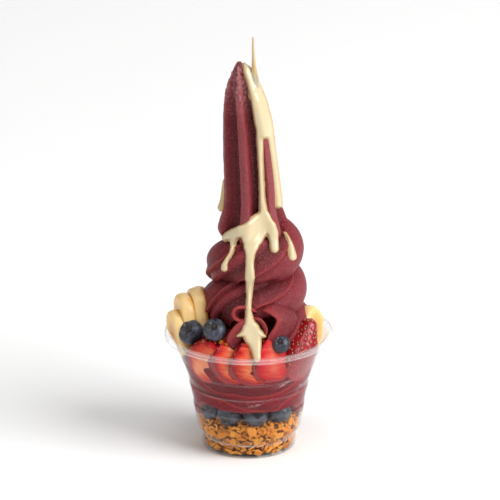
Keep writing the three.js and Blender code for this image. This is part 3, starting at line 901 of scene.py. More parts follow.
@dataclass
class AcaiBed:
    """The acai in the cup. It is pressed on the wall in tongues, with thin lips where one ends."""

    around: int = 320
    wall_rings: int = 84
    edge_height: float = 58.8  # of its top at the wall
    lip_width: float = 0.55
    edge_waves: Rows = ((0.7, 3, 40), (0.4, 7, 0))  # of its top: height, number round and phase
    hollows: Rows = ((7.5, 0.9), (3.6, 0.6))  # tall and deep, upper one first
    hollow_shade: float = 0.55  # painted shade of a hollow for each millimetre of its depth
    # Radius and height of the underside, from the middle out
    underside: Rows = ((4, 20.7), (16, 20.8), (21, 24.0), (24.5, 27.5))
    # Radius and rise over its edge of the mound under the swirl, from the wall to the middle
    mound: Rows = (
        (39.4, 0.4), (37.6, 3.2), (35.2, 6.2), (32.0, 10.6), (28.5, 14.5), (22.0, 16.8), (12, 17.2),
        (3, 17.2))
    # Turn and height of the lips that show through the wall, each the lower edge of a hollow
    upper_lip: Array = numbers([
        [-181, 46.5], [-140, 49.0], [-100, 53.5], [-75, 54.5], [-55, 50.7], [-43, 44.9], [-31, 42.6],
        [-15, 43.1], [-2, 41.7], [27, 42.3], [52, 47.5], [75, 52.5], [110, 47.0], [150, 43.5], [181, 46.5]])
    lower_lip: Array = numbers([
        [-181, 37.0], [-130, 34.5], [-90, 41.0], [-50, 38.6], [-30, 38.3], [-15, 36.0], [-6, 33.5],
        [10, 32.2], [24, 30.5], [40, 36.0], [75, 38.5], [120, 35.0], [181, 37.0]])
    # Turn and height of the acai's lower edge at the wall, over the berries and down to the granola
    foot: Array = numbers([
        [-181, 28.5], [-145, 30.5], [-118, 29.5], [-98, 21.0], [-78, 20.5], [-64, 29.0], [-28, 30.6],
        [9, 30.9], [30, 30.0], [50, 30.3], [66, 27.0], [80, 20.5], [100, 20.8], [122, 29.5], [181, 28.5]])
    # Smears of acai with air behind the wall, each with a painted whitish highlight: turn, height, half width
    # in degrees, half height in mm
    smears: Array = numbers([
        [36, 48.6, 8, 1.3], [31, 46.9, 4, 0.8], [8, 36.4, 6, 0.9], [2, 34.9, 4, 0.6], [58, 42.5, 3, 2.2],
        [-150, 45.0, 8, 1.2], [128, 40.0, 6, 1.0], [-96, 36.0, 5, 1.4]])

    def frost(self, turns: Array, heights: Array) -> Array:
        """How much of the wall side is a smear with air behind the wall, which gets a painted whitish
        highlight.

        Args:
            turns: degrees round the cup.
            heights: millimetres above the base.

        Returns:
            One share for each place.
        """
        total = np.zeros_like(heights)
        for turn, height, half_turn, half_height in self.smears:
            slant = height + 0.12 * (turns - turn)
            total += np.exp(-(((turns - turn) / half_turn) ** 2) - ((heights - slant) / half_height) ** 2)
        round_wall = turns * 0.65  # degrees to about millimetres
        places = np.stack([round_wall, heights, np.zeros_like(heights)], -1)
        return np.clip(total * (0.35 + 1.3 * noise_at(places, 1.6)), 0, 0.8)

    def relief(self, turns: Array, heights: Array) -> tuple[Array, Array, Array]:
        """How the wall side of the acai is shaped.

        Args:
            turns: degrees round the cup.
            heights: millimetres above the base.

        Returns:
            How deep it lies behind the wall, how much it is a lip and how much painted shade it gets.
        """
        depth = np.zeros_like(heights)
        lip = np.zeros_like(heights)
        for table, (tall, deep) in zip((self.upper_lip, self.lower_lip), self.hollows):
            above = heights - rows_at(table, turns)[:, 0]
            hollow = np.where(above > 0, np.exp(-((above / tall) ** 3)) * step_between(0, 0.8, above), 0)
            depth = np.maximum(depth, deep * hollow)
            lip = np.maximum(lip, np.exp(-((above + 0.2) / self.lip_width) ** 2))
        return depth, lip, self.hollow_shade * depth

    def build(self, cream: Material) -> Object:
        """Makes the bed.

        Args:
            cream: its finish.

        Returns:
            The bed.
        """
        turns = np.linspace(-180, 180, self.around, endpoint=False)
        foot = rows_at(self.foot, turns)[:, 0]
        top = self.edge_height + sum(
            tall * np.sin(np.radians(number * turns + phase)) for tall, number, phase in self.edge_waves)
        names = ("lip", "groove", "frost", "lines")
        rings: list[Array] = []
        values: dict[str, list[Array]] = {name: [] for name in names}

        def add_ring(radius: Array | float, heights: Array, *shares: Array | float) -> None:
            """Adds one ring.

            Args:
                radius: its radius, one for all turns or one for each.
                heights: its height at each turn.
                shares: how much it is lip, how much painted shade it gets, and how much it is a smear with a
                    painted whitish highlight.
            """
            radii = np.broadcast_to(np.asarray(radius, float), turns.shape)
            rings.append(heading(turns) * radii[:, None] + heights[:, None] * UPWARD)
            for name, share in zip(names, (*shares, 0.0, 0.0, 0.0)):
                values[name].append(np.broadcast_to(share, turns.shape))

        for radius, height in self.underside:
            # The underside gets painted shade.
            add_ring(radius, np.minimum(height, foot - 0.5), 0.0, 0.6)
        for share in np.linspace(0, 1, self.wall_rings):
            heights = foot + share * (top - foot)
            depth, lip, groove = self.relief(turns, heights)
            tuck = 1.2 * np.exp(-(heights - foot) / 0.5) + 1.0 * np.exp(-(top - heights) / 0.7)
            # Lips, also along the lower edge, are brighter partly as thin cream and partly as painted
            # highlight
            lip = np.maximum(lip, 0.7 * np.exp(-((heights - foot) / 0.7) ** 2))
            add_ring(inner_radius(heights) + PRESSED_IN - depth - tuck, heights, lip, groove,
                     self.frost(turns, heights))
        for radius, rise in self.mound:
            wave = (1.4 * np.sin(np.radians(4 * turns + 9 * radius))
                    + 0.8 * np.sin(np.radians(9 * turns - 13 * radius)))
            near_wall = min(1.0, (41 - radius) / 8)
            # The mound gets a little painted shade.
            add_ring(radius, top + rise + near_wall * wave, 0.0, 0.25)
        skin = Skin.loft(np.array(rings), {name: np.array(rows) for name, rows in values.items()})
        return skin.to_object("acai_bed", cream)


@dataclass
class PipedSwirl:
    """The piped acai: a ribbed rope coiled round and drawn up into a tall ribbed spire, with folds below."""

    rope_sides: int = 36  # points on one rib of the rope
    spire_sides: int = 28
    coil_step: float = 3.0  # degrees between the rope's sections
    stretch: float = 180.0  # degrees in one closed stretch of the rope
    ribs: int = 4
    rib_phase: float = 15.0
    lip_spread: tuple[float, float] = (0.014, 0.022)  # share of a rib that its lip's painted highlight takes on either side
    # Painted shade on each rib's hollow flank:
    flank_shade: float = 0.42
    shaded_below: float = 0.90  # share of the rope's radius; hollows deeper than this get painted shade
    mean_radius: float = 15.0  # of the rope, for the nozzle's lines
    smooth_radius: float = 0.965
    near_axis: float = 0.5
    # The rope's radius over one rib: sharp lip, undercut, dome, crease, hollow flank
    rib: Array = numbers([
        [0, 1.0], [0.016, 0.995], [0.040, 0.92], [0.065, 0.865], [0.11, 0.868], [0.2, 0.925], [0.28, 0.953],
        [0.36, 0.925], [0.44, 0.862], [0.5, 0.80], [0.6, 0.808], [0.7, 0.836], [0.8, 0.88], [0.9, 0.935],
        [0.97, 0.985], [1.0, 1.0]])
    # Turn, height, reach, radius over the ribs, how far the ribs have turned, and how far it is
    # pressed flat below its middle
    coil: Array = numbers([
        [-740, 66, 17.0, 15.5, 0, 1], [-690, 70, 17.0, 15.8, -4, 1], [-630, 74, 16.8, 16.0, 0, 1],
        [-540, 79.5, 16.4, 16.0, 0, 1], [-450, 86.6, 15.6, 16.2, 8, 1], [-428, 88.8, 15.6, 16.2, 20, 0.9],
        [-418, 89.9, 15.5, 16.2, 18, 0.9], [-408, 90.8, 15.4, 16.2, 6, 0.9],
        [-398, 91.6, 15.2, 16.0, -8, 0.9], [-380, 92.6, 14.9, 16.0, -16, 0.9],
        [-360, 93.6, 14.7, 16.0, -17, 0.95], [-340, 94.4, 14.5, 16.0, -8, 1],
        [-325, 94.9, 14.5, 16.0, -2, 1], [-270, 96.5, 15.0, 16.0, 0, 1], [-180, 102.5, 14.2, 16.0, 0, 1],
        [-90, 110.2, 12.6, 16.2, 6, 0.9], [-58, 112.8, 12.4, 16.2, 11, 0.75],
        [-40, 114.0, 12.4, 16.2, 7, 0.65], [-20, 115.3, 12.5, 16.0, -4, 0.62],
        [0, 116.4, 12.6, 16.0, -3, 0.85], [20, 117.3, 12.5, 16.0, 0, 1], [90, 121, 13.2, 16.0, 0, 1],
        [150, 124, 11.2, 16.0, 0, 1], [210, 127, 6.5, 15.0, 0, 1], [250, 129, 3.0, 13.0, 0, 1]])
    # Where the ribs are smoothed away: turn and half width, angle round the rope and half width
    smoothed: Rows = (
        (88, 62, 88, 62), (-272, 62, 88, 62), (-632, 62, 88, 62), (-70, 75, -155, 58), (-430, 75, -155, 58))
    # Height, radius over the ribs and the axis's X of the spire
    spire: Array = numbers([
        [124.5, 14.0, 2.4], [129, 17.8, 2.3], [134.5, 20.2, 2.2], [139, 19.2, 2.1], [146, 17.0, 2.0],
        [161, 16.0, 1.7], [178, 15.4, 0.6], [195, 14.3, -0.6], [208, 12.4, -2.2], [219, 9.4, -3.7],
        [227, 5.6, -4.9], [232, 2.8, -5.4], [234.8, 0.9, -5.6]])
    spire_ribs: int = 6
    spire_phase: float = -15.0
    spire_rings: int = 150
    crest: float = 0.155  # half the width of a rib's flat crest, as share of the rib
    groove_depth: float = 0.38
    crest_edge: tuple[float, float] = (0.15, 0.016)  # where the crest's painted highlight edge is, and its width
    dim_edge: float = 0.1  # how much of that painted highlight the edge after the crest has, so one side is lit
    icy_from: float = 200.0  # height over which the spire grows icy
    core: tuple[float, float, float] = (10.0, 62.0, 132.0)  # radius, from, to
    # Folds squeezed out under the coil's front. Each is a sheet from its lip to its root, with points
    # given as seen from the front: across, up and the depth Y; then its thickness and how it is cupped
    folds: Rows = (
        (((4.4, 76.0, -30.5), (1.7, 77.2, -31.8), (-1.7, 78.4, -33.0), (-5.2, 78.7, -34.0),
          (-8.0, 77.6, -34.6), (-9.2, 75.2, -34.8), (-8.4, 72.6, -34.6), (-6.0, 71.0, -34.0),
          (-3.8, 71.2, -33.2)),
         ((4.4, 73.6, -25.0), (1.8, 74.6, -26.0), (-1.2, 75.4, -27.0), (-3.6, 75.6, -27.5),
          (-5.0, 75.2, -28.0), (-5.6, 74.6, -28.0), (-5.4, 73.8, -28.0), (-4.4, 73.2, -27.5),
          (-3.4, 73.0, -27.0)),
         1.9, 0.5),
        (((-0.6, 72.2, -33.0), (-4.3, 70.0, -34.2), (-7.1, 67.7, -34.8), (-9.9, 64.6, -35.0),
          (-11.8, 61.4, -34.8), (-12.8, 58.0, -34.2)),
         ((3.5, 66.5, -26.0), (1.0, 64.5, -26.5), (-1.5, 61.5, -27.0), (-3.5, 58.0, -27.0),
          (-5.5, 54.5, -27.0), (-7.0, 51.0, -27.0)),
         2.0, -1.8),
        (((0.5, 71.6, -33.0), (3.2, 72.3, -33.4), (5.6, 72.0, -33.8), (7.8, 70.4, -34.0), (9.4, 68.0, -34.0),
          (10.1, 65.2, -33.8), (9.4, 61.4, -33.6)),
         ((1.4, 67.4, -24.0), (2.8, 67.8, -24.0), (4.0, 67.6, -24.0), (5.0, 66.8, -24.0), (5.6, 65.4, -24.0),
          (5.8, 63.5, -24.0), (5.4, 60.5, -24.0)),
         1.3, 0.8),
        (((8.0, 76.6, -29.6), (11.6, 75.5, -31.2), (14.6, 73.6, -32.4), (16.5, 71.4, -33.0),
          (15.6, 67.8, -33.4), (13.4, 64.4, -33.6), (10.8, 60.6, -33.6)),
         ((13.0, 80.0, -18.0), (18.5, 79.0, -17.0), (24.0, 76.0, -16.0), (27.0, 71.0, -16.0),
          (25.0, 65.0, -17.0), (21.0, 60.0, -19.0), (16.0, 55.0, -21.0)),
         1.7, -3.4))
    drawn_mm: float = 0.12  # how unevenly the whole is drawn
    sharp_from: float = 50.0  # degrees

    def middle(self, turns: Array) -> Array:
        """The rope's middle line.

        Args:
            turns: degrees along the coil.

        Returns:
            A place for each turn.
        """
        rows = rows_at(self.coil, turns)
        up = np.stack([np.full(len(rows), SWIRL_AXIS_X), np.zeros(len(rows)), rows[:, 0]], -1)
        return heading(turns) * rows[:, 1:2] + up

    def smoothed_away(self, turn: float, angles: Array) -> Array:
        """How far the ribs are smoothed away in one section of the rope.

        Args:
            turn: the section's turn.
            angles: degrees round the rope.

        Returns:
            A share for each angle.
        """
        gone = np.zeros_like(angles)
        for at_turn, turn_width, at_angle, angle_width in self.smoothed:
            apart = (angles - at_angle + 180) % 360 - 180
            here = math.exp(-(((turn - at_turn) / turn_width) ** 6)) * np.exp(-((apart / angle_width) ** 8))
            gone = np.maximum(gone, here)
        return gone

    def rope(self) -> list[Object]:
        """The rope. A level section laid over to its way keeps its ribs' headings.

        Returns:
            Its closed stretches, each reaching into the next.
        """
        share = np.linspace(0, 1, self.rope_sides, endpoint=False)
        angles = (self.rib_phase + (np.arange(self.ribs)[:, None] + share) * 360 / self.ribs).ravel()
        profile = np.tile(rows_at(self.rib, share)[:, 0], self.ribs)
        after, before = self.lip_spread
        from_lip = np.tile(np.where(share < 0.5, share / after, (1 - share) / before), self.ribs)
        shaded = step_between(0.48, 0.6, share) * (1 - step_between(0.9, 1.0, share))
        flank = np.tile(self.flank_shade * shaded, self.ribs)
        turns = np.arange(self.coil[0, 0], self.coil[-1, 0] + 1e-6, self.coil_step)
        along = unit(self.middle(turns + 0.5) - self.middle(turns - 0.5))
        rings, lips, grooves = [], [], []
        for turn, way, row, middle in zip(turns, along, rows_at(self.coil, turns), self.middle(turns)):
            _, _, size, rib_turn, pressed = row
            gone = self.smoothed_away(turn, angles)
            radius = profile * (1 - gone) + self.smooth_radius * gone
            lay = np.array(Vector(UPWARD).rotation_difference(Vector(way)).to_matrix())
            offset = (heading(angles + rib_turn) * (radius * size)[:, None]) @ lay.T
            offset[:, 2] *= np.where(offset[:, 2] < 0, pressed, 1.0)
            ring = middle + offset
            out = heading(turn)
            short = np.maximum(self.near_axis - (ring - [SWIRL_AXIS_X, 0, 0]) @ out, 0)
            rings.append(ring + short[:, None] * out)
            # Painted highlight along the lips, partly thin cream
            lips.append((1 - gone) * np.exp(-(from_lip**2)))
            # Painted shade in the rope's hollows and on its flanks
            hollow = np.clip((self.shaded_below - radius) / 0.10, 0, 1)
            grooves.append(hollow * 0.65 + (1 - gone) * flank)
        steps = round(self.stretch / self.coil_step)
        lines = np.arange(len(angles)) * (2 * math.pi * self.mean_radius / len(angles))
        stretches = []
        for start in range(0, len(rings) - 1, steps):
            part = slice(start, start + steps + 2)
            values = {"lip": np.array(lips[part]), "groove": np.array(grooves[part]),
                      "lines": np.broadcast_to(lines, (len(rings[part]), len(angles)))}
            stretches.append(Skin.loft(np.array(rings[part]), values).to_object("rope"))
        return stretches

    def spire_object(self) -> Object:
        """The spire: broad ribs with deep grooves, rough with ice at its edges and tip; painted highlight on
        its crests' edges and faces, and painted shade in its grooves.

        Returns:
            The closed spire.
        """
        share = np.linspace(0, 1, self.spire_sides, endpoint=False)
        from_crest = np.minimum(share, 1 - share)
        into = np.clip((from_crest - self.crest) / (0.5 - self.crest), 0, 1)
        falling = np.sin(np.clip(into * 1.7, 0, 1) * math.pi / 2) ** 0.6
        radius = np.where(from_crest <= self.crest, 1.02 - 0.02 * (from_crest / self.crest) ** 2,
                          1 - self.groove_depth * falling)
        edge_at, edge_width = self.crest_edge
        edge = np.exp(-(((from_crest - edge_at) / edge_width) ** 2))
        edge *= np.where(share < 0.5, self.dim_edge, 1.0)
        face = 1 - step_between(0.13, 0.17, from_crest)
        # Painted shade in the spire's grooves, heavier on one side
        deep = 0.8 * step_between(0.0, 0.7, into)
        radius, edge, face, deep = (np.tile(row, self.spire_ribs) for row in (radius, edge, face, deep))
        ribs = (np.arange(self.spire_ribs)[:, None] + share) * 360 / self.spire_ribs
        angles = (self.spire_phase + ribs).ravel()
        deep = np.clip(deep * (1 + 0.3 * np.cos(np.radians(angles + 45))), 0, 1)
        heights = np.linspace(self.spire[0, 0], self.spire[-1, 0], self.spire_rings)
        rows = rows_at(self.spire, heights)
        up = np.stack([rows[:, 1], np.zeros_like(heights), heights], -1)
        rings = heading(angles)[None] * (radius[None, :] * rows[:, :1])[..., None] + up[:, None, :]
        shape = rings.shape[:2]
        rough = 0.05 + 0.75 * step_between(self.icy_from + 4, 230, heights)[:, None] + 0.14 * edge[None, :]
        bumps = noise_at(rings.reshape(-1, 3), 1.6).reshape(shape)
        rings = rings + heading(angles)[None] * (rough * bumps)[..., None]
        frost = step_between(self.icy_from, 226, heights)[:, None] * np.clip(0.5 + bumps, 0, 1)
        # Painted highlight on the crests' edges and faces; ice on the tip
        values = {"lip": np.clip(0.45 * edge[None, :] + 0.16 * face[None, :] + 0.5 * frost, 0, 1),
                  "frost": 0.5 * frost + 0.10 * face[None, :],
                  "groove": np.broadcast_to(deep, shape), "lines": np.broadcast_to(angles * 0.26, shape)}
        return Skin.loft(rings, values).to_object("spire")

    def fold(self, lip: Array, root: Array, thick: float, cup: float) -> Object:
        """A sheet of acai from a rounded lip to a root in the body.

        Args:
            lip: the lip's points, as seen from the front.
            root: the root's points, one for each of the lip's.
            thick: the sheet's thickness.
            cup: how far the sheet is cupped between lip and root.

        Returns:
            The closed sheet.
        """
        stations = np.linspace(0, 1, 8 * len(lip))
        places = np.linspace(0, 1, len(lip))[:, None]
        edge, foot = (from_sight(rows_at(np.hstack([places, line]), stations)) for line in (lip, root))
        along = np.gradient(edge, axis=0)
        out = edge - foot
        side = unit(np.cross(along, out))
        span = np.linalg.norm(out, axis=1)[:, None]
        out /= span
        half_ring = 9  # points from the root to the lip
        share = np.linspace(0, 1, half_ring)
        share = np.concatenate([share, share[::-1]])
        face = np.repeat([1.0, -1.0], half_ring)
        around_lip = np.radians([80, 50, 20, -20, -50, -80])
        taper = np.clip(np.minimum(stations, 1 - stations) / 0.08, 0.25, 1)[:, None, None] ** 0.5
        half = thick / 2 * taper
        flat = foot[:, None] + (out * span)[:, None] * share[None, :, None]
        bow = cup * 4 * (share * (1 - share))[None, :, None] * side[:, None]
        flat = flat + bow + side[:, None] * face[None, :, None] * half * (1.25 - 0.25 * share[None, :, None])
        tip = (edge[:, None] + side[:, None] * half * np.sin(around_lip)[None, :, None]
               + out[:, None] * half * np.cos(around_lip)[None, :, None])
        rings = np.concatenate([flat[:, :half_ring], tip, flat[:, half_ring:]], axis=1)
        near_lip = np.concatenate([share[:half_ring], np.ones(len(around_lip)), share[half_ring:]])
        # Painted highlight near the lip, painted shade towards the root
        values = {"lip": 0.6 * np.clip((near_lip - 0.9) / 0.1, 0, 1) ** 2,
                  "groove": 0.7 * (1 - near_lip), "lines": 9.0 * near_lip}
        values = {name: np.broadcast_to(row, rings.shape[:2]) for name, row in values.items()}
        return Skin.loft(rings, values).to_object("fold")

    def build(self, cream: Material) -> Object:
        """Makes the swirl as one body.

        Args:
            cream: its finish.

        Returns:
            The swirl.
        """
        radius, low, high = self.core
        core = Skin.turned(np.array([[0, low], [radius, low], [radius, high], [0, high]]), 24)
        folds = [self.fold(np.array(lip), np.array(root), thick, cup) for lip, root, thick, cup in self.folds]
        swirl = joined_by_union([*self.rope(), self.spire_object(), core.to_object("core"), *folds])
        swirl.name = swirl.data.name = "acai_swirl"
        swirl.data.materials.clear()
        swirl.data.materials.append(cream)
        points = points_of(swirl)
        uneven = np.stack([noise_at(points, 5.0, 3 * k) for k in (1, 2, 3)], -1)
        set_points(swirl, points + self.drawn_mm * uneven)
        swirl.data.shade_smooth()
        swirl.data.set_sharp_from_angle(angle=math.radians(self.sharp_from))
        return swirl


# ---- Fruit ----


@dataclass
class Blueberry:
    """A blueberry: a little flatter than a ball, with a five-pointed crown round a hollow."""

    name: str
    at: Sequence[float]
    radius: float
    faces: float
    lean: float
    seed: int
    around: int = 80
    rings: int = 64
    flatness: float = 0.9
    # Degrees from the middle of the crown
    hollow_from: float = 16.0
    crown_rim: float = 25.0
    crown_points: float = 9.0  # how much further its points reach
    rim_width: float = 3.6
    dent_at: float = 42.0
    dent_width: float = 9.0
    # Shares of the radius
    rim_rise: float = 0.045
    hollow_depth: float = 0.24
    dent_depth: float = 0.05
    uneven: float = 0.012

    def build(self, skin_finish: Material) -> Object:
        """Makes the berry in its place.

        Args:
            skin_finish: the berry's finish.

        Returns:
            The berry.
        """
        from_top = 2 + 176 * np.linspace(0, 1, self.rings) ** 1.4
        turns = np.arange(self.around) * 360 / self.around
        top, turn = np.meshgrid(from_top, turns, indexing="ij")
        star = 0.5 + 0.5 * np.cos(np.radians(5 * turn + 40 * self.seed))
        rim_at = self.crown_rim + self.crown_points * star
        rim = np.exp(-(((top - rim_at) / self.rim_width) ** 2)) * (0.45 + 0.55 * star)
        hollow = 1 - step_between(self.hollow_from, rim_at, top)
        dent = np.exp(-(((top - self.dent_at) / self.dent_width) ** 2))
        reach = self.radius * (1 + self.rim_rise * rim - self.hollow_depth * hollow - self.dent_depth * dent)
        polar, azimuth = np.radians(top), np.radians(turn)
        way = np.stack([np.sin(polar) * np.cos(azimuth), np.sin(polar) * np.sin(azimuth), np.cos(polar)], -1)
        points = way * reach[..., None] * [1, 1, self.flatness]
        bumps = noise_at(way.reshape(-1, 3), 0.6, self.seed).reshape(top.shape)
        points = points * (1 + self.uneven * bumps[..., None])
        crown = np.clip(rim * 0.2 + hollow, 0, 1)
        skin = Skin.loft(points[::-1], {"crown": crown[::-1]})
        skin.points = keep_in_cup(moved(skin.points, placing(self.at, self.faces, -self.lean)))
        return skin.to_object(self.name, skin_finish)


class SliceFace(Enum):
    """The faces of a strawberry slice, each with the place of its finish."""

    FLESH = 0
    SKIN = 1
    SEED = 2


@dataclass
class StrawberrySlice:
    """A slice of strawberry: the berry between two cuts, flesh on the cuts and seeded skin round its edge."""

    name: str
    at: Sequence[float]
    radius: float
    tall: float
    thick: float
    faces: float
    lean: float
    roll: float
    shift: float = 0.0
    ripe: float = 0.0  # from -1, pale, to 1, crimson
    slim: float = 0.0  # how much narrower it is towards its tip
    seed: int = 1
    around: int = 112
    rings: int = 72
    seed_spacing: float = 3.3
    seed_half: tuple[float, float, float] = (0.36, 0.66, 0.30)  # half width, length and height
    seed_sunk: float = 0.22
    dimple_width: float = 0.95
    dimple_depth: float = 0.42
    sharp_from: float = 55.0  # degrees
    # The berry's radius from its tip (-0.5) to its shoulder (0.5), as share of its greatest
    outline: Array = numbers([
        [-0.5, 0.0], [-0.47, 0.22], [-0.36, 0.52], [-0.16, 0.82], [0.06, 0.97], [0.24, 0.98], [0.38, 0.84],
        [0.46, 0.55], [0.5, 0.0]])

    def half_width(self, share: Array) -> Array:
        """The berry's radius as share of its greatest.

        Args:
            share: heights from tip (-0.5) to shoulder (0.5).

        Returns:
            The radius at each height.
        """
        slimmer = self.slim * np.sin(math.pi * np.clip((share + 0.5) / 0.6, 0, 1))
        return np.maximum(rows_at(self.outline, share)[:, 0] - slimmer, 0.01)

    def seed_places(self) -> tuple[Array, Array]:
        """The seeds' places, in staggered rows.

        Returns:
            Their heights, as shares of the berry, and their turns in degrees.
        """
        heights, turns = [], []
        rows = int(self.tall / (self.seed_spacing * 0.8))
        for row in range(1, rows):
            height = -0.5 + row / rows
            width = float(self.half_width(np.array([height]))[0]) * self.radius
            count = max(3, round(2 * math.pi * width / self.seed_spacing))
            turns += [(k + row % 2 / 2) * 360 / count + 20 * self.seed for k in range(count)]
            heights += [height] * count
        loose = np.random.default_rng(self.seed)
        shift = 0.26 * self.seed_spacing / self.tall
        return (np.array(heights) + loose.uniform(-shift, shift, len(heights)),
                np.array(turns) + loose.uniform(-6, 6, len(turns)))

    def body_point(self, share: Array, turns: Array) -> Array:
        """Points of the whole berry's skin, before it is cut.

        Args:
            share: heights from tip (-0.5) to shoulder (0.5).
            turns: degrees round the berry.

        Returns:
            One point for each height and turn.
        """
        width = self.half_width(share) * self.radius
        lobes = (1 + 0.035 * np.sin(np.radians(3 * turns + 70 * self.seed))
                 + 0.02 * np.sin(np.radians(5 * turns)))
        angle = np.radians(turns)
        return np.stack([width * lobes * np.cos(angle), width * lobes * np.sin(angle), share * self.tall], -1)

    def build(self, flesh: Material, skin_finish: Material, seed_finish: Material) -> Object:
        """Makes the slice with its seeds in its place.

        Args:
            flesh: the finish of the cuts.
            skin_finish: the finish of the skin.
            seed_finish: the finish of the seeds.

        Returns:
            The slice.
        """
        levels = 0.5 * np.sin(np.linspace(-0.49, 0.49, self.rings) * math.pi)
        turns = np.arange(self.around) * 360 / self.around
        level, turn = (grid.ravel() for grid in np.meshgrid(levels, turns, indexing="ij"))
        points = self.body_point(level, turn)
        seeds = self.body_point(*self.seed_places())
        apart = np.min(np.linalg.norm(points[:, None, :] - seeds[None], axis=2), axis=1)
        dimple = np.exp(-((apart / self.dimple_width) ** 2))
        from_axis = np.maximum(np.linalg.norm(points[:, :2], axis=1), 2)
        points[:, :2] -= points[:, :2] * (self.dimple_depth * dimple / from_axis)[:, None]
        bulge = (0.35 * np.cos(np.clip(points[:, 0] / self.radius, -1, 1) * math.pi / 2)
                 + 0.25 * noise_at(points, 4.0, self.seed))
        low, high = self.shift - self.thick / 2, self.shift + self.thick / 2
        depth = points[:, 1].copy()
        cut = (depth > high) | (depth < low)
        points[:, 1] = np.where(depth > high, high + bulge, np.where(depth < low, low - bulge, depth))
        width = self.half_width(level) * self.radius
        half_cut = np.sqrt(np.maximum(width**2 - (self.thick / 2) ** 2, 1))
        share = np.clip(np.abs(points[:, 0]) / half_cut, 0, 1)
        near_ends = np.clip(np.abs(level) * 2, 0, 1) ** 3
        share = np.maximum(share, near_ends) + 0.3 * min(self.ripe, 0)
        values = {"dimple": dimple, "share": share, "place": points, "cut": cut.astype(float),
                  "ripe": np.full(len(points), max(self.ripe, 0.0))}
        shape = (self.rings, self.around)
        skin = Skin.loft(points.reshape(*shape, 3), {
            name: rows.reshape(*shape, *rows.shape[1:]) for name, rows in values.items()})
        matrix = placing(self.at, self.faces, self.lean, self.roll)
        skin.points = keep_in_cup(moved(skin.points, matrix))
        obj = skin.to_object(self.name, flesh, skin_finish, seed_finish)
        cut_share = skin.values["cut"]
        for face in obj.data.polygons:
            is_cut = sum(cut_share[i] for i in face.vertices) >= len(face.vertices) - 0.5
            face.material_index = (SliceFace.FLESH if is_cut else SliceFace.SKIN).value
        obj.data.set_sharp_from_angle(angle=math.radians(self.sharp_from))
        kept = (seeds[:, 1] > low + 0.4) & (seeds[:, 1] < high - 0.4)
        self.add_seeds(obj, seeds[kept], matrix)
        return obj

    def add_seeds(self, obj: Object, seeds: Array, matrix: Array) -> None:
        """Joins seeds to the slice: flat drops that point along the berry.

        Args:
            obj: the slice.
            seeds: the seeds' places on the berry.
            matrix: the slice's place.
        """
        work = bmesh.new()
        work.from_mesh(obj.data)
        before = len(work.faces)
        for place in seeds:
            out = Vector((place[0], place[1], 0)).normalized()
            side = Vector(UPWARD).cross(out)
            turn = Matrix((side, Vector(UPWARD), out)).transposed().to_4x4()
            scale = Matrix.Diagonal((*self.seed_half, 1))
            local = Matrix.Translation(Vector(place) - out * self.seed_sunk) @ turn @ scale
            where = keep_in_cup(np.array([moved(np.array([local.translation]), matrix)[0]]), -0.3)
            world = Matrix([list(row) for row in matrix]) @ local
            world.translation = Vector(where[0])
            bmesh.ops.create_icosphere(work, subdivisions=1, radius=1.0, matrix=Matrix.Scale(MM, 4) @ world)
        work.faces.ensure_lookup_table()
        for face in work.faces[before:]:
            face.material_index = SliceFace.SEED.value
            face.smooth = True
        work.to_mesh(obj.data)
        work.free()


@dataclass
class BananaSlice:
    """A banana slice cut on the bias: an oval coin with soft edges and a faintly lobed side."""

    name: str
    at: Sequence[float]
    half: float
    tall: float
    thick: float
    faces: float
    lean: float
    seed: int
    around: int = 120
    across: Array = numbers([0.04, 0.1, 0.18, 0.3, 0.42, 0.55, 0.68, 0.8, 0.88])  # its faces' rings
    soft_edge: float = 0.1  # share of the half width that the rounded edge takes
    bulge_mm: float = 0.35
    heart_depth_mm: float = 0.25
    heart: float = 0.14  # half the heart's width, as share
    uneven_mm: float = 0.22
    ray_share: float = 0.05  # how far the three rays reach out of the heart
    shade: float = 0.6  # painted shade, partly the amber of thin flesh: how much deeper the colour is towards its far face

    def build(self, flesh: Material) -> Object:
        """Makes the slice in its place.

        Args:
            flesh: the finish of the slice.

        Returns:
            The slice.
        """
        shares = self.across
        edge = np.radians(np.linspace(-80, 80, 13))
        half_thick = self.thick / 2
        rim = 1 - self.soft_edge + self.soft_edge * np.cos(edge)
        spans = np.concatenate([shares, rim, shares[::-1]])
        heart = self.heart_depth_mm * np.exp(-((shares / self.heart) ** 2))
        cheek = half_thick + self.bulge_mm * (1 - shares**2) - heart
        depths = np.concatenate([-cheek, half_thick * np.sin(edge), cheek[::-1]])
        turns = np.arange(self.around) * 2 * math.pi / self.around
        lobes = 1 + 0.018 * np.cos(5 * turns + self.seed) + 0.008 * np.cos(11 * turns + 2 * self.seed)
        x = spans[:, None] * self.half * lobes * np.cos(turns)
        z = spans[:, None] * self.tall * lobes * np.sin(turns)
        points = np.stack([x, np.broadcast_to(depths[:, None], x.shape), z], -1)
        bumps = noise_at(points.reshape(-1, 3), 5.0, self.seed).reshape(x.shape)
        points = points + self.uneven_mm * bumps[..., None] * np.array([0.4, 1, 0.4])
        rays = self.ray_share * np.cos(3 * turns + self.seed)
        # Painted shade towards the far face, partly the amber of thin flesh
        shade = self.shade * np.clip(2 * depths / self.thick - 0.1, 0, 1) ** 1.2
        share = np.clip(spans[:, None] + rays[None] * (spans[:, None] < 0.4) - shade[:, None], 0, 1)
        skin = Skin.loft(points, {"place": points, "share": np.broadcast_to(share, x.shape)})
        skin.points = keep_in_cup(moved(skin.points, placing(self.at, self.faces, self.lean)))
        return skin.to_object(self.name, flesh)


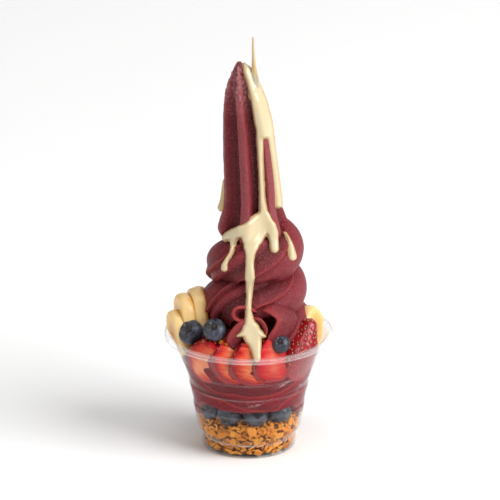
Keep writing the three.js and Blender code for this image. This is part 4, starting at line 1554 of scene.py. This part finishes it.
@dataclass
class Fruit:
    """All the fruit: the buried ring of blueberries, and the berries and slices on top."""

    buried_reach: float = 24.1
    # Turn, height, radius and how far the crown leans out of the cup's axis
    buried: Rows = (
        (-62, 25.6, 7.2, 70), (-28, 25.8, 7.2, 110), (9, 26.8, 7.2, 60), (47, 25.2, 7.1, -40),
        (126, 25.8, 7.0, 85), (161, 26.4, 7.2, 30), (197, 25.6, 7.2, 100), (234, 26.0, 7.1, 60))
    # Middle, radius, and where the crown looks
    berries: Rows = (
        ((-33.8, -17.5, 75.6), 7.5, -22, 50), ((-19.8, -29.5, 81.6), 6.75, -14, 46),
        ((18.2, -31.5, 73.6), 5.45, -14, 46), ((24.0, 30.5, 76.0), 7.0, 150, 40),
        ((-8.0, 30.8, 78.5), 6.6, 190, 50))
    # Middle, radius, tall, thick, faces, lean, roll, shift, ripeness, slimness
    strawberries: Rows = (
        ((-26.8, -29.9, 60.0), 13.4, 31, 11, -20, -14, 56, 5.0, -0.8, 0),
        ((-11.5, -33.0, 64.5), 12.3, 29, 5.5, 24, 18, 198, 0, 0.0, 0.05),
        ((0.6, -35.0, 64.3), 12.3, 29, 5.5, 22, 18, 196, 0, 0.0, 0),
        ((12.5, -34.0, 64.6), 12.0, 27, 5.4, 30, 18, 186, 0, 0.6, 0.05),
        ((30.0, -19.0, 65.5), 14.2, 38, 17, 30, 14, -150, -7.8, 0.5, 0.22),
        ((33.5, 19.0, 66.5), 10, 27, 6, 118, 20, 30, 0, 0.1, 0.08),
        ((9.5, 37.0, 66.0), 10, 26, 6, 160, 20, -15, 0, -0.2, 0),
        ((-27.5, 27.5, 66.0), 10, 26, 6, 215, 20, 25, 0, 0.0, 0.1))
    # Middle, half width, half height, thickness, faces, lean
    bananas: Rows = (
        ((-30.0, -3.5, 79.2), 13.2, 18.0, 7.8, -74, -1), ((-36.4, -6.0, 77.0), 12.6, 17.6, 7.8, -73, -5),
        ((-40.8, -9.5, 71.4), 11.6, 14.2, 6.6, -70, -10), ((-31.0, 12.0, 76.0), 13.6, 16.0, 5.4, -118, 6),
        ((35.0, 1.5, 70.4), 11.0, 13.4, 7.4, 60, 4))

    def build(self) -> list[Object]:
        """Makes all the fruit.

        Returns:
            The pieces that lie on top.
        """
        berry_skin = BlueberrySkin().material()
        for number, (turn, height, radius, lean) in enumerate(self.buried, 1):
            at = (*(heading(turn)[:2] * self.buried_reach), height)
            berry = Blueberry(f"pressed_blueberry_{number}", at, radius, turn, lean, number)
            hand_over(berry.build(berry_skin), "blueberry", f"buried_blueberry_{number}")
        on_top = []
        for number, sizes in enumerate(self.berries, 1):
            berry = Blueberry(f"whole_blueberry_{number}", *sizes, number + 20)
            on_top.append(berry.build(berry_skin))
            hand_over(on_top[-1], "blueberry", f"blueberry_{number}")
        finishes = StrawberryFlesh().material(), StrawberrySkin().material(), Seed().material()
        for number, sizes in enumerate(self.strawberries, 1):
            berry = StrawberrySlice(f"cut_strawberry_{number}", *sizes, number)
            on_top.append(berry.build(*finishes))
            hand_over(on_top[-1], "strawberry", f"strawberry_slice_{number}")
        banana_flesh = BananaFlesh().material()
        for number, sizes in enumerate(self.bananas, 1):
            banana = BananaSlice(f"cut_banana_{number}", *sizes, number)
            on_top.append(banana.build(banana_flesh))
            hand_over(on_top[-1], "banana", f"banana_slice_{number}")
        return on_top


# ---- Granola ----


class Grain(Enum):
    """The kinds of grain in the heap, each with its half sizes in millimetres and its share of the heap."""

    FLAKE = ((2.8, 2.3, 0.45), 3)
    BROKEN = ((2.0, 1.5, 0.6), 2)
    CRUMB = ((1.2, 1.0, 0.8), 1)


@dataclass
class GranolaHeap:
    """Oat granola in the foot of the cup: flakes and bits over a dark core of painted shade, pressed flat on
    the wall.
    """

    spacing_mm: float = 1.75
    seed: int = 11
    density: float = 4e5  # points on a square metre, before the spacing thins them
    lean: float = 0.42  # how far a grain leans off the heap's surface, in radians
    sizes: tuple[float, float] = (0.75, 1.2)
    depths_mm: tuple[float, float] = (-1.2, 0.9)
    tints: tuple[float, float] = (0.30, 0.72)
    # The core, turned about the cup's axis: [r, z]
    core_outline: Array = numbers([
        [0, 1.9], [22, 1.9], [25.0, 3.0], [25.4, 8.4], [27.8, 13.0], [28.8, 18.5], [25, 21.0], [12, 20.5],
        [0, 20.5]])

    def grain(self, kind: Grain) -> Object:
        """One grain: a curled oval with a thick rim and a pitted middle.

        Args:
            kind: which kind of grain.

        Returns:
            The grain, at the origin.
        """
        (long, wide, thick), _ = kind.value
        around = 12
        turns = np.arange(around) * 2 * math.pi / around
        rings = []
        for share, side in ((0.35, -0.35), (0.8, -1.0), (1.0, 0.0), (0.8, 1.0), (0.35, 0.35)):
            wobble = 1 + 0.12 * np.cos(3 * turns + long) + 0.06 * np.cos(5 * turns)
            x, y = share * long * np.cos(turns) * wobble, share * wide * np.sin(turns) * wobble
            z = side * thick + 0.09 * x**2 / long - 0.05 * y**2
            rings.append(np.stack([x, y, z], -1))
        edge = np.array([0.0, 0.35, 0.5, 0.35, 0.0])[:, None] * np.ones(around)
        return Skin.loft(np.array(rings), {"edge": edge}).to_object(kind.name.lower())

    def scatter_tree(self, grains: Sequence[Object], finish: Material) -> NodeTree:
        """The tree that scatters grains over the heap.

        Args:
            grains: the kinds of grain.
            finish: their finish.

        Returns:
            The Geometry Nodes tree.
        """
        tree = bpy.data.node_groups.new("scatter_grains", "GeometryNodeTree")
        for name, kind in (("Geometry", "Geometry"), ("Spacing", "Float"), ("Seed", "Int")):
            tree.interface.new_socket(name=name, in_out="INPUT", socket_type=f"NodeSocket{kind}")
        tree.interface.new_socket(name="Geometry", in_out="OUTPUT", socket_type="NodeSocketGeometry")
        given = tree.nodes.new("NodeGroupInput").outputs
        points = add_node(tree, "GeometryNodeDistributePointsOnFaces", {
            "Mesh": given["Geometry"], "Distance Min": given["Spacing"], "Density Max": self.density,
            "Seed": given["Seed"]}, distribute_method="POISSON")
        kinds = add_node(tree, "GeometryNodeJoinGeometry")
        for grain, obj in zip(Grain, grains):
            for _ in range(grain.value[1]):
                info = add_node(tree, "GeometryNodeObjectInfo", {"Object": obj, "As Instance": True})
                tree.links.new(info.outputs["Geometry"], kinds.inputs[0])

        draws = (("INT", 0, sum(grain.value[1] for grain in Grain) - 1),
                 ("FLOAT_VECTOR", (-self.lean, -self.lean, -math.pi), (self.lean, self.lean, math.pi)),
                 ("FLOAT", *self.sizes), ("FLOAT", *self.tints),
                 ("FLOAT_VECTOR", *((0, 0, deep * MM) for deep in self.depths_mm)))
        pick, tilt, size, tint, depth = (
            add_node(tree, "FunctionNodeRandomValue", {
                "Min": least, "Max": most, "Seed": self.seed + number}, data_type=kind).outputs
            for number, (kind, least, most) in enumerate(draws))
        turned = add_node(tree, "FunctionNodeRotateEuler", {
            "Rotation": points.outputs["Rotation"], "Rotate By": tilt[0]}, space="LOCAL")
        placed = add_node(tree, "GeometryNodeInstanceOnPoints", {
            "Points": points.outputs["Points"], "Instance": kinds.outputs[0], "Pick Instance": True,
            "Instance Index": pick[2], "Rotation": turned.outputs[0], "Scale": size[1]})
        shifted = add_node(tree, "GeometryNodeTranslateInstances", {
            "Instances": placed.outputs[0], "Translation": depth[0]})
        named = add_node(tree, "GeometryNodeStoreNamedAttribute", {
            "Geometry": shifted.outputs[0], "Name": "tint", "Value": tint[1]},
            domain="INSTANCE", data_type="FLOAT")
        real = add_node(tree, "GeometryNodeRealizeInstances", {"Geometry": named.outputs[0]})
        dressed = add_node(tree, "GeometryNodeSetMaterial", {"Geometry": real.outputs[0], "Material": finish})
        add_node(tree, "NodeGroupOutput", {"Geometry": dressed.outputs[0]})
        return tree

    def build(self) -> Material:
        """Makes the core and the grains, in place of the granola node.

        Returns:
            The oats' finish.
        """
        core = Skin.turned(self.core_outline, 96)
        core.points *= 1 + 0.03 * noise_at(core.points, 4.0)[:, None] * [1, 1, 0]
        # The core is painted shade between the grains
        core_object = core.to_object("granola_core", ShadedOats().material())
        bed = core.to_object("granola_grains")
        oats = ToastedOats().material()
        grains = [self.grain(kind) for kind in Grain]
        tree = self.scatter_tree(grains, oats)
        scatter = bed.modifiers.new("scatter", "NODES")
        scatter.node_group = tree
        inputs = {item.name: item.identifier for item in tree.interface.items_tree if item.in_out == "INPUT"}
        scatter[inputs["Spacing"]] = self.spacing_mm * MM
        scatter[inputs["Seed"]] = self.seed
        settled(bed)
        for grain in grains:
            bpy.data.objects.remove(grain)
        set_points(bed, keep_in_cup(points_of(bed)))
        bed.data.shade_smooth()
        hand_over(core_object, "granola", "granola")
        hand_over(bed, "granola", "granola")
        return oats


@dataclass
class LooseCrumbs:
    """Crumbs of granola that fell beside the fruit. They are too small for a node of their own."""

    seed: int = 5
    # Place as seen from the front (across and up) and half length
    seen: Rows = (
        (-17.4, 59.3, 1.2), (-15.6, 58.3, 1.5), (-13.2, 57.4, 1.1), (-14.2, 59.8, 0.9), (-19.4, 58.0, 0.7),
        (-22.6, 58.6, 0.6))
    stand_off: float = 0.35  # of a crumb's middle, as share of its half length
    uneven: float = 0.22
    tint: float = 0.36

    def build(self, under: Sequence[Object], oats: Material) -> None:
        """Lays the crumbs on the fruit and the acai.

        Args:
            under: what they lie on.
            oats: their finish.
        """
        target = surface_tree(under)
        loose = np.random.default_rng(self.seed)
        work = bmesh.new()
        for across, high, half in self.seen:
            hit, normal, _, _ = target.ray_cast(*along_view(across, high))
            turn = Euler(loose.uniform(0, math.pi, 3)).to_matrix().to_4x4()
            size = Matrix.Diagonal((*(half * loose.uniform(0.55, 1.0, 3)), 1))
            place = Matrix.Translation(hit + normal * self.stand_off * half)
            bmesh.ops.create_icosphere(work, subdivisions=2, radius=1.0,
                                       matrix=Matrix.Scale(MM, 4) @ place @ turn @ size)
        mesh = bpy.data.meshes.new("granola_crumbs")
        work.to_mesh(mesh)
        work.free()
        crumbs = placed_object("granola_crumbs", mesh, oats)
        points = points_of(crumbs)
        bumps = np.stack([noise_at(points, 0.7, k) for k in (1, 2, 3)], -1)
        set_points(crumbs, points + self.uneven * bumps)
        set_values(crumbs, "tint", np.full(len(points), self.tint))
        hand_over(crumbs, "granola")


# ---- Condensed milk ----


@dataclass
class MilkDrizzle:
    """Condensed milk: a sheet with arms and drips as seen from the front, and streams round the spire."""

    grid: float = 0.5
    voxel: float = 0.4
    thickness: float = 1.8
    blend_reach: float = 1.0
    taut: int = 220  # rounds of smoothing that let the sheet span grooves
    window: tuple[float, float, float, float] = (-20, 34, 42, 226)  # left, right, bottom and top, as seen
    tuck: float = 0.9  # how far the sheet reaches into what is under it
    tube_sides: int = 14
    tube_ends: tuple[float, ...] = (30, 60, 85)  # degrees of the rings that round an end
    smoothing: tuple[float, int] = (0.5, 9)  # factor and rounds
    # Streams as seen from the front: across, up and width, in millimetres
    seen: Rows = (
        ((-2.6, 217.6, 1.6), (-0.8, 214.4, 4.6), (0.6, 211.4, 5.6), (2.2, 208.0, 6.6), (5.8, 196.6, 8.8),
         (8.3, 184.5, 10.2), (9.4, 180.0, 9.0)),
        ((6.6, 180, 4.6), (6.2, 176, 4.0), (6.5, 163.5, 3.1), (7.1, 150, 2.9), (7.5, 140.3, 3.2),
         (8.2, 134, 4.4), (8.4, 129.9, 8.2), (6.4, 126.3, 12), (3.4, 122.6, 13.4), (2.0, 118.6, 12.0),
         (1.2, 113.6, 8.4), (0.6, 108.6, 5.2), (0.4, 104, 4.6), (0.5, 99, 5.3), (0.5, 96, 5.8),
         (0.4, 92.6, 4.4), (0.1, 87, 3.2), (0.0, 82.6, 2.9), (-0.2, 76.4, 3.0), (0.4, 69.2, 5.6),
         (0.9, 65.6, 9.6), (2.2, 61.4, 9.6), (3.4, 57.9, 7.2), (4.2, 53.8, 5.4), (4.6, 49.2, 4.0)),
        ((11.6, 180, 3.8), (12.9, 174, 3.4), (14.4, 163.4, 3.2), (15.8, 153.3, 3.2), (17.1, 143.2, 3.4),
         (17.4, 137.4, 3.6)),
        ((1.0, 64.6, 6), (-3.4, 63.4, 3.0), (-6.6, 62.0, 0.8)),
        ((3.0, 64.4, 6), (6.4, 63.2, 3.0), (9.2, 61.8, 0.8)),
        ((2.0, 123.4, 8), (-4.5, 122.4, 6.6), (-9.0, 120.9, 5.8), (-12.2, 119.6, 4.8), (-13.8, 118.6, 3.6)),
        ((-9.0, 118.4, 3.6), (-9.5, 112.5, 2.1), (-10.6, 109.5, 1.7), (-12.8, 106.0, 2.1),
         (-14.1, 102.6, 3.5), (-14.1, 100.9, 3.8)),
        ((8.4, 128, 8), (12.0, 125.2, 6.8), (13.8, 121.0, 5.8), (14.5, 116.0, 4.8), (14.8, 112.0, 4.5)),
        ((21.0, 121.6, 0.8), (22.6, 118.0, 1.7), (24.3, 113.2, 2.7), (25.1, 108.5, 3.9), (25.1, 107.4, 4.2)))
    # Painted shade of the rounded edge, also standing for thin milk: its width and strength
    edge_width: float = 0.7
    edge_tint: float = 0.55
    # Streams round the spire: turn, height, width, and how far its middle lies out from the spire
    around: Rows = (
        ((52, 222, 4.0, -0.6), (58, 210, 6.6, -1.0), (62, 198, 7.6, -1.2), (64, 188, 7.2, -1.1),
         (66, 180, 5.0, -0.8), (70, 170, 3.6, -0.6)),
        ((-82, 163, 1.8, 0.0), (-82, 158, 3.0, 0.2), (-82, 151, 3.8, 0.6), (-81, 146.5, 4.8, 1.0)),
        ((120, 215, 2.4, -0.4), (127, 202, 4.2, -0.6), (129, 190, 3.0, -0.5), (131, 174, 2.4, -0.4),
         (132, 158, 2.8, -0.4), (135, 146, 4.8, -0.7)))
    # The drawn-out peak: x, y, z and width
    peak: Rows = (
        (2.2, -5.0, 216, 6.4), (3.4, -3.8, 221, 5.6), (3.2, -3.2, 227.5, 4.0), (2.8, -2.8, 233.5, 2.5),
        (2.4, -2.5, 242, 1.5), (2.3, -2.4, 250.2, 0.9))

    def outline_distance(self, places: Array) -> Array:
        """How far places of the front view lie outside the milk.

        Args:
            places: how far across and up each is seen.

        Returns:
            The distances, negative inside the milk.
        """
        total = np.zeros(len(places))
        for stream in self.seen:
            nearest = np.full(len(places), np.inf)
            for (x0, y0, w0), (x1, y1, w1) in zip(stream[:-1], stream[1:]):
                start, way = np.array([x0, y0]), np.array([x1 - x0, y1 - y0])
                t = np.clip((places - start) @ way / (way @ way), 0, 1)
                gap = np.linalg.norm(places - start - t[:, None] * way, axis=1) - (w0 + t * (w1 - w0)) / 2
                nearest = np.minimum(nearest, gap)
            total += np.exp(-nearest * 2 / self.blend_reach)
        return -self.blend_reach / 2 * np.log(np.maximum(total, 1e-9))

    def sheet(self, target: BVHTree) -> Skin:
        """The milk seen from the front, laid on what is under it.

        Args:
            target: the surface that it lies on, in millimetres.

        Returns:
            A closed sheet, thick in its middle and tucked under at its edge.
        """
        left, right, bottom, top = self.window
        across, height = np.arange(left, right, self.grid), np.arange(bottom, top, self.grid)
        shape = (len(height), len(across))
        places = np.stack(np.meshgrid(across, height), -1).reshape(-1, 2)
        inside = -self.outline_distance(places)
        depth = np.full(len(places), np.nan)
        for k in np.flatnonzero(inside > -4):
            origin, along = along_view(*places[k])
            hit = target.ray_cast(origin, along)[0]
            if hit is not None:
                depth[k] = (hit - origin).length
        depth, inside = depth.reshape(shape), inside.reshape(shape)
        smooth = depth.copy()
        for _ in range(self.taut):
            smooth = np.fmin(self.blurred(smooth), depth + 0.2)
        rise = np.gradient(np.where(np.isnan(smooth), np.nanmean(smooth), smooth), self.grid)
        normal = unit(np.stack([rise[1], rise[0], -np.ones(shape)], -1))
        cap = np.sqrt(np.clip(1 - (1 - np.clip(inside / self.thickness, -0.4, 1)) ** 2, -1, 1))
        tall = np.where(inside > 0, self.thickness * cap, inside)
        flat = np.concatenate([places.reshape(*shape, 2), smooth[..., None]], -1)
        used = (inside > -2 * self.grid) & ~np.isnan(smooth)
        front, back = flat + normal * tall[..., None], flat - normal * self.tuck
        return Skin(np.concatenate([self.from_view(side[used]) for side in (front, back)]),
                    self.two_sided(used))

    @staticmethod
    def from_view(seen: Array) -> Array:
        """Points of the front view in the cup's frame.

        Args:
            seen: how far across, how far up and how far along the ray each lies.

        Returns:
            X, Y and Z of each point.
        """
        up, along = view_axes()
        across, high, far = seen.T[..., None]
        return across * np.array([1.0, 0, 0]) + high * up + (far - VIEW_START) * along

    @staticmethod
    def two_sided(used: Array) -> list[tuple[int, ...]]:
        """The faces of a sheet over the used points of a grid.

        Args:
            used: which points of the grid the sheet has.

        Returns:
            The faces of its front, its back and its edge; the back's points follow the front's.
        """
        count = int(used.sum())
        number = np.full(used.shape, -1)
        number[used] = np.arange(count)
        corners = number[:-1, :-1], number[:-1, 1:], number[1:, 1:], number[1:, :-1]
        quads = np.stack(corners, -1).reshape(-1, 4)
        quads = quads[(quads >= 0).all(1)]
        faces = [tuple(q) for q in quads] + [tuple(q[::-1] + count) for q in quads]
        edges = {edge: None for a, b, c, d in quads for edge in ((a, b), (b, c), (c, d), (d, a))}
        return faces + [(b, a, a + count, b + count) for a, b in edges if (b, a) not in edges]

    def edge_shade_and_thinness(self, points: Array) -> Array:
        """How much painted shade the milk's rounded edge gets, which also stands for thin milk: most at its
        outline as seen from the front.

        Args:
            points: its points in millimetres.

        Returns:
            A share for each point.
        """
        up, _ = view_axes()
        inside = -self.outline_distance(np.stack([points[:, 0], points @ up], -1))
        return self.edge_tint * np.exp(-((np.maximum(inside, 0) / self.edge_width) ** 2))

    @staticmethod
    def blurred(values: Array) -> Array:
        """Each value's mean with its neighbours.

        Args:
            values: a grid; what is empty is nan.

        Returns:
            The grid of means, without regard to what is empty.
        """
        padded = np.pad(values, 1, constant_values=np.nan)
        rows, columns = values.shape
        stack = [padded[i:i + rows, j:j + columns] for i in range(3) for j in range(3)]
        with np.errstate(invalid="ignore"):
            known = ~np.isnan(stack)
            total = np.where(known, stack, 0).sum(0) / np.maximum(known.sum(0), 1)
        return np.where(known.any(0), total, np.nan)

    def tube(self, points: Array, widths: Array) -> Skin:
        """A round stream, rounded at both ends.

        Args:
            points: its middle line's points.
            widths: its width at each.

        Returns:
            The closed stream.
        """
        spots = np.linspace(0, 1, 6 * len(points))
        table = np.column_stack([np.linspace(0, 1, len(points)), points, widths])
        rows = rows_at(table, spots)
        line, radius = rows[:, :3], np.maximum(rows[:, 3], 0.4) / 2
        along = unit(np.gradient(line, axis=0))
        first, last = (
            [(line[end] + way * math.sin(angle) * radius[end] * along[end], radius[end] * math.cos(angle),
              along[end]) for angle in np.radians(self.tube_ends)]
            for end, way in ((0, -1), (-1, 1)))
        turns = np.arange(self.tube_sides) * 2 * math.pi / self.tube_sides
        rings = []
        for middle, size, way in [*first[::-1], *zip(line, radius, along), *last]:
            side = unit(np.cross(way, [0, -1, 0.2]))
            up = np.cross(side, way)
            rings.append(middle + size * (np.cos(turns)[:, None] * side + np.sin(turns)[:, None] * up))
        return Skin.loft(np.array(rings))

    def streams(self, target: BVHTree, swirl: PipedSwirl) -> list[Skin]:
        """The streams round the spire, laid on it.

        Args:
            target: the surface that they lie on, in millimetres.
            swirl: the swirl's sizes.

        Returns:
            The closed streams.
        """
        outside = 200.0
        skins = []
        for stream in self.around:
            points = []
            for turn, height, width, rise in stream:
                axis = rows_at(swirl.spire, height)[0, 1]
                out = heading(turn)
                origin = Vector((axis, 0, height)) + Vector(out) * outside
                hit = target.ray_cast(origin, -Vector(out))[0]
                points.append([*(np.array(hit) + out * rise), width])
            table = np.array(points)
            skins.append(self.tube(table[:, :3], table[:, 3]))
        return skins

    def build(self, swirl: PipedSwirl, swirl_object: Object, under: Sequence[Object]) -> Object:
        """Makes the milk.

        Args:
            swirl: the swirl's sizes.
            swirl_object: the swirl.
            under: what else the milk lies on.

        Returns:
            The milk as one object.
        """
        peak = np.array(self.peak)
        skins = [self.sheet(surface_tree([swirl_object, *under])), self.tube(peak[:3, :3], peak[:3, 3]),
                 *self.streams(surface_tree([swirl_object]), swirl)]
        points = np.concatenate([skin.points for skin in skins])
        faces, start = [], 0
        for skin in skins:
            faces += [tuple(int(i) + start for i in face) for face in skin.faces]
            start += len(skin.points)
        milk = Skin(points, faces).to_object("milk_drizzle", CondensedMilk().material())
        remesh = milk.modifiers.new("remesh", "REMESH")
        remesh.mode = "VOXEL"
        remesh.voxel_size = self.voxel * MM
        smooth = milk.modifiers.new("smooth", "SMOOTH")
        smooth.factor, smooth.iterations = self.smoothing
        settled(milk)
        set_points(milk, keep_in_cup(points_of(milk), 0.0))
        thread = self.tube(peak[1:, :3], peak[1:, 3]).to_object("thread", milk.data.materials[0])
        with bpy.context.temp_override(active_object=milk, selected_editable_objects=[milk, thread]):
            bpy.ops.object.join()
        milk.data.shade_smooth()
        # Painted shade at the outline, and thin milk
        set_values(milk, "thin", self.edge_shade_and_thinness(points_of(milk)))
        return milk


# ---- Studio ----


@dataclass
class Studio:
    """A plain pale floor, soft light and the camera at the photo's angle."""

    aim: tuple[float, float, float] = (0.58, 0.0, 119.4)
    pixel_mm: float = 0.5765
    distance_mm: float = 5000.0
    image_width: int = 500
    sensor_mm: float = 36.0
    floor_half_m: float = 6.0
    light_distance_m: float = 2.6
    light_aim_m: tuple[float, float, float] = (0, 0, 0.12)
    room_strength: float = 0.19
    # Name, turn, rise, size in metres and strength of each light
    lamps: Rows = (
        ("key", 62, 36, 1.8, 1.14), ("fill", -66, 26, 1.8, 0.22), ("top", 8, 80, 1.4, 0.28),
        ("back", 165, 40, 1.8, 0.18))

    def camera(self) -> None:
        """The camera, level with the front and looking down."""
        tilt = math.radians(SIGHT_TILT)
        back = Vector((0, -math.cos(tilt), math.sin(tilt)))
        data = bpy.data.cameras.new("camera")
        camera = bpy.data.objects.new("camera", data)
        bpy.context.scene.collection.objects.link(camera)
        camera.location = (Vector(self.aim) + back * self.distance_mm) * MM
        camera.rotation_euler = (-back).to_track_quat("-Z", "Y").to_euler()
        data.sensor_width = self.sensor_mm
        data.lens = self.sensor_mm * self.distance_mm / (self.image_width * self.pixel_mm)
        data.clip_end = 50
        bpy.context.scene.camera = camera

    def floor(self) -> None:
        """A wide pale floor."""
        half = self.floor_half_m
        mesh = bpy.data.meshes.new("floor")
        mesh.from_pydata([(-half, -half, 0), (half, -half, 0), (half, half, 0), (-half, half, 0)], [],
                         [(0, 1, 2, 3)])
        placed_object("floor", mesh, PalePaper().material())

    def lights(self) -> None:
        """A large soft key from the right, a fill from the left, two more, and a bright room."""
        for name, turn, rise, size, strength in self.lamps:
            data = bpy.data.lights.new(name, "AREA")
            data.size = size
            data.energy = strength * (math.pi * self.light_distance_m) ** 2
            light = bpy.data.objects.new(name, data)
            bpy.context.scene.collection.objects.link(light)
            way = (Vector(heading(turn)) * math.cos(math.radians(rise))
                   + Vector(UPWARD) * math.sin(math.radians(rise)))
            light.location = Vector(self.light_aim_m) + way * self.light_distance_m
            light.rotation_euler = (-way).to_track_quat("-Z", "Y").to_euler()
        world = bpy.data.worlds.new("room")
        bpy.context.scene.world = world
        world.use_nodes = True
        background = world.node_tree.nodes["Background"]
        background.inputs["Color"].default_value = srgb("#ffffff")
        background.inputs["Strength"].default_value = self.room_strength
        bpy.context.scene.view_settings.view_transform = "Standard"

    def build(self) -> None:
        """Sets up camera, floor and lights."""
        self.camera()
        self.floor()
        self.lights()


def main() -> None:
    """Builds the cup and its contents in order."""
    logging.basicConfig(level=logging.INFO, format="%(name)s: %(message)s")
    Studio().build()
    Tumbler().build()
    oats = GranolaHeap().build()
    on_top = Fruit().build()
    cream = AcaiCream().material()
    bed = AcaiBed().build(AcaiCream("acai_cream_on_the_wall", ior=1.1).material())
    swirl = PipedSwirl()
    swirl_object = swirl.build(cream)
    LooseCrumbs().build([bed, swirl_object, *on_top], oats)
    milk = MilkDrizzle().build(swirl, swirl_object, [bed, *on_top])
    for piece in (bed, swirl_object, milk):
        hand_over(piece, "acai", "acai")


if __name__ == "__main__":
    main()
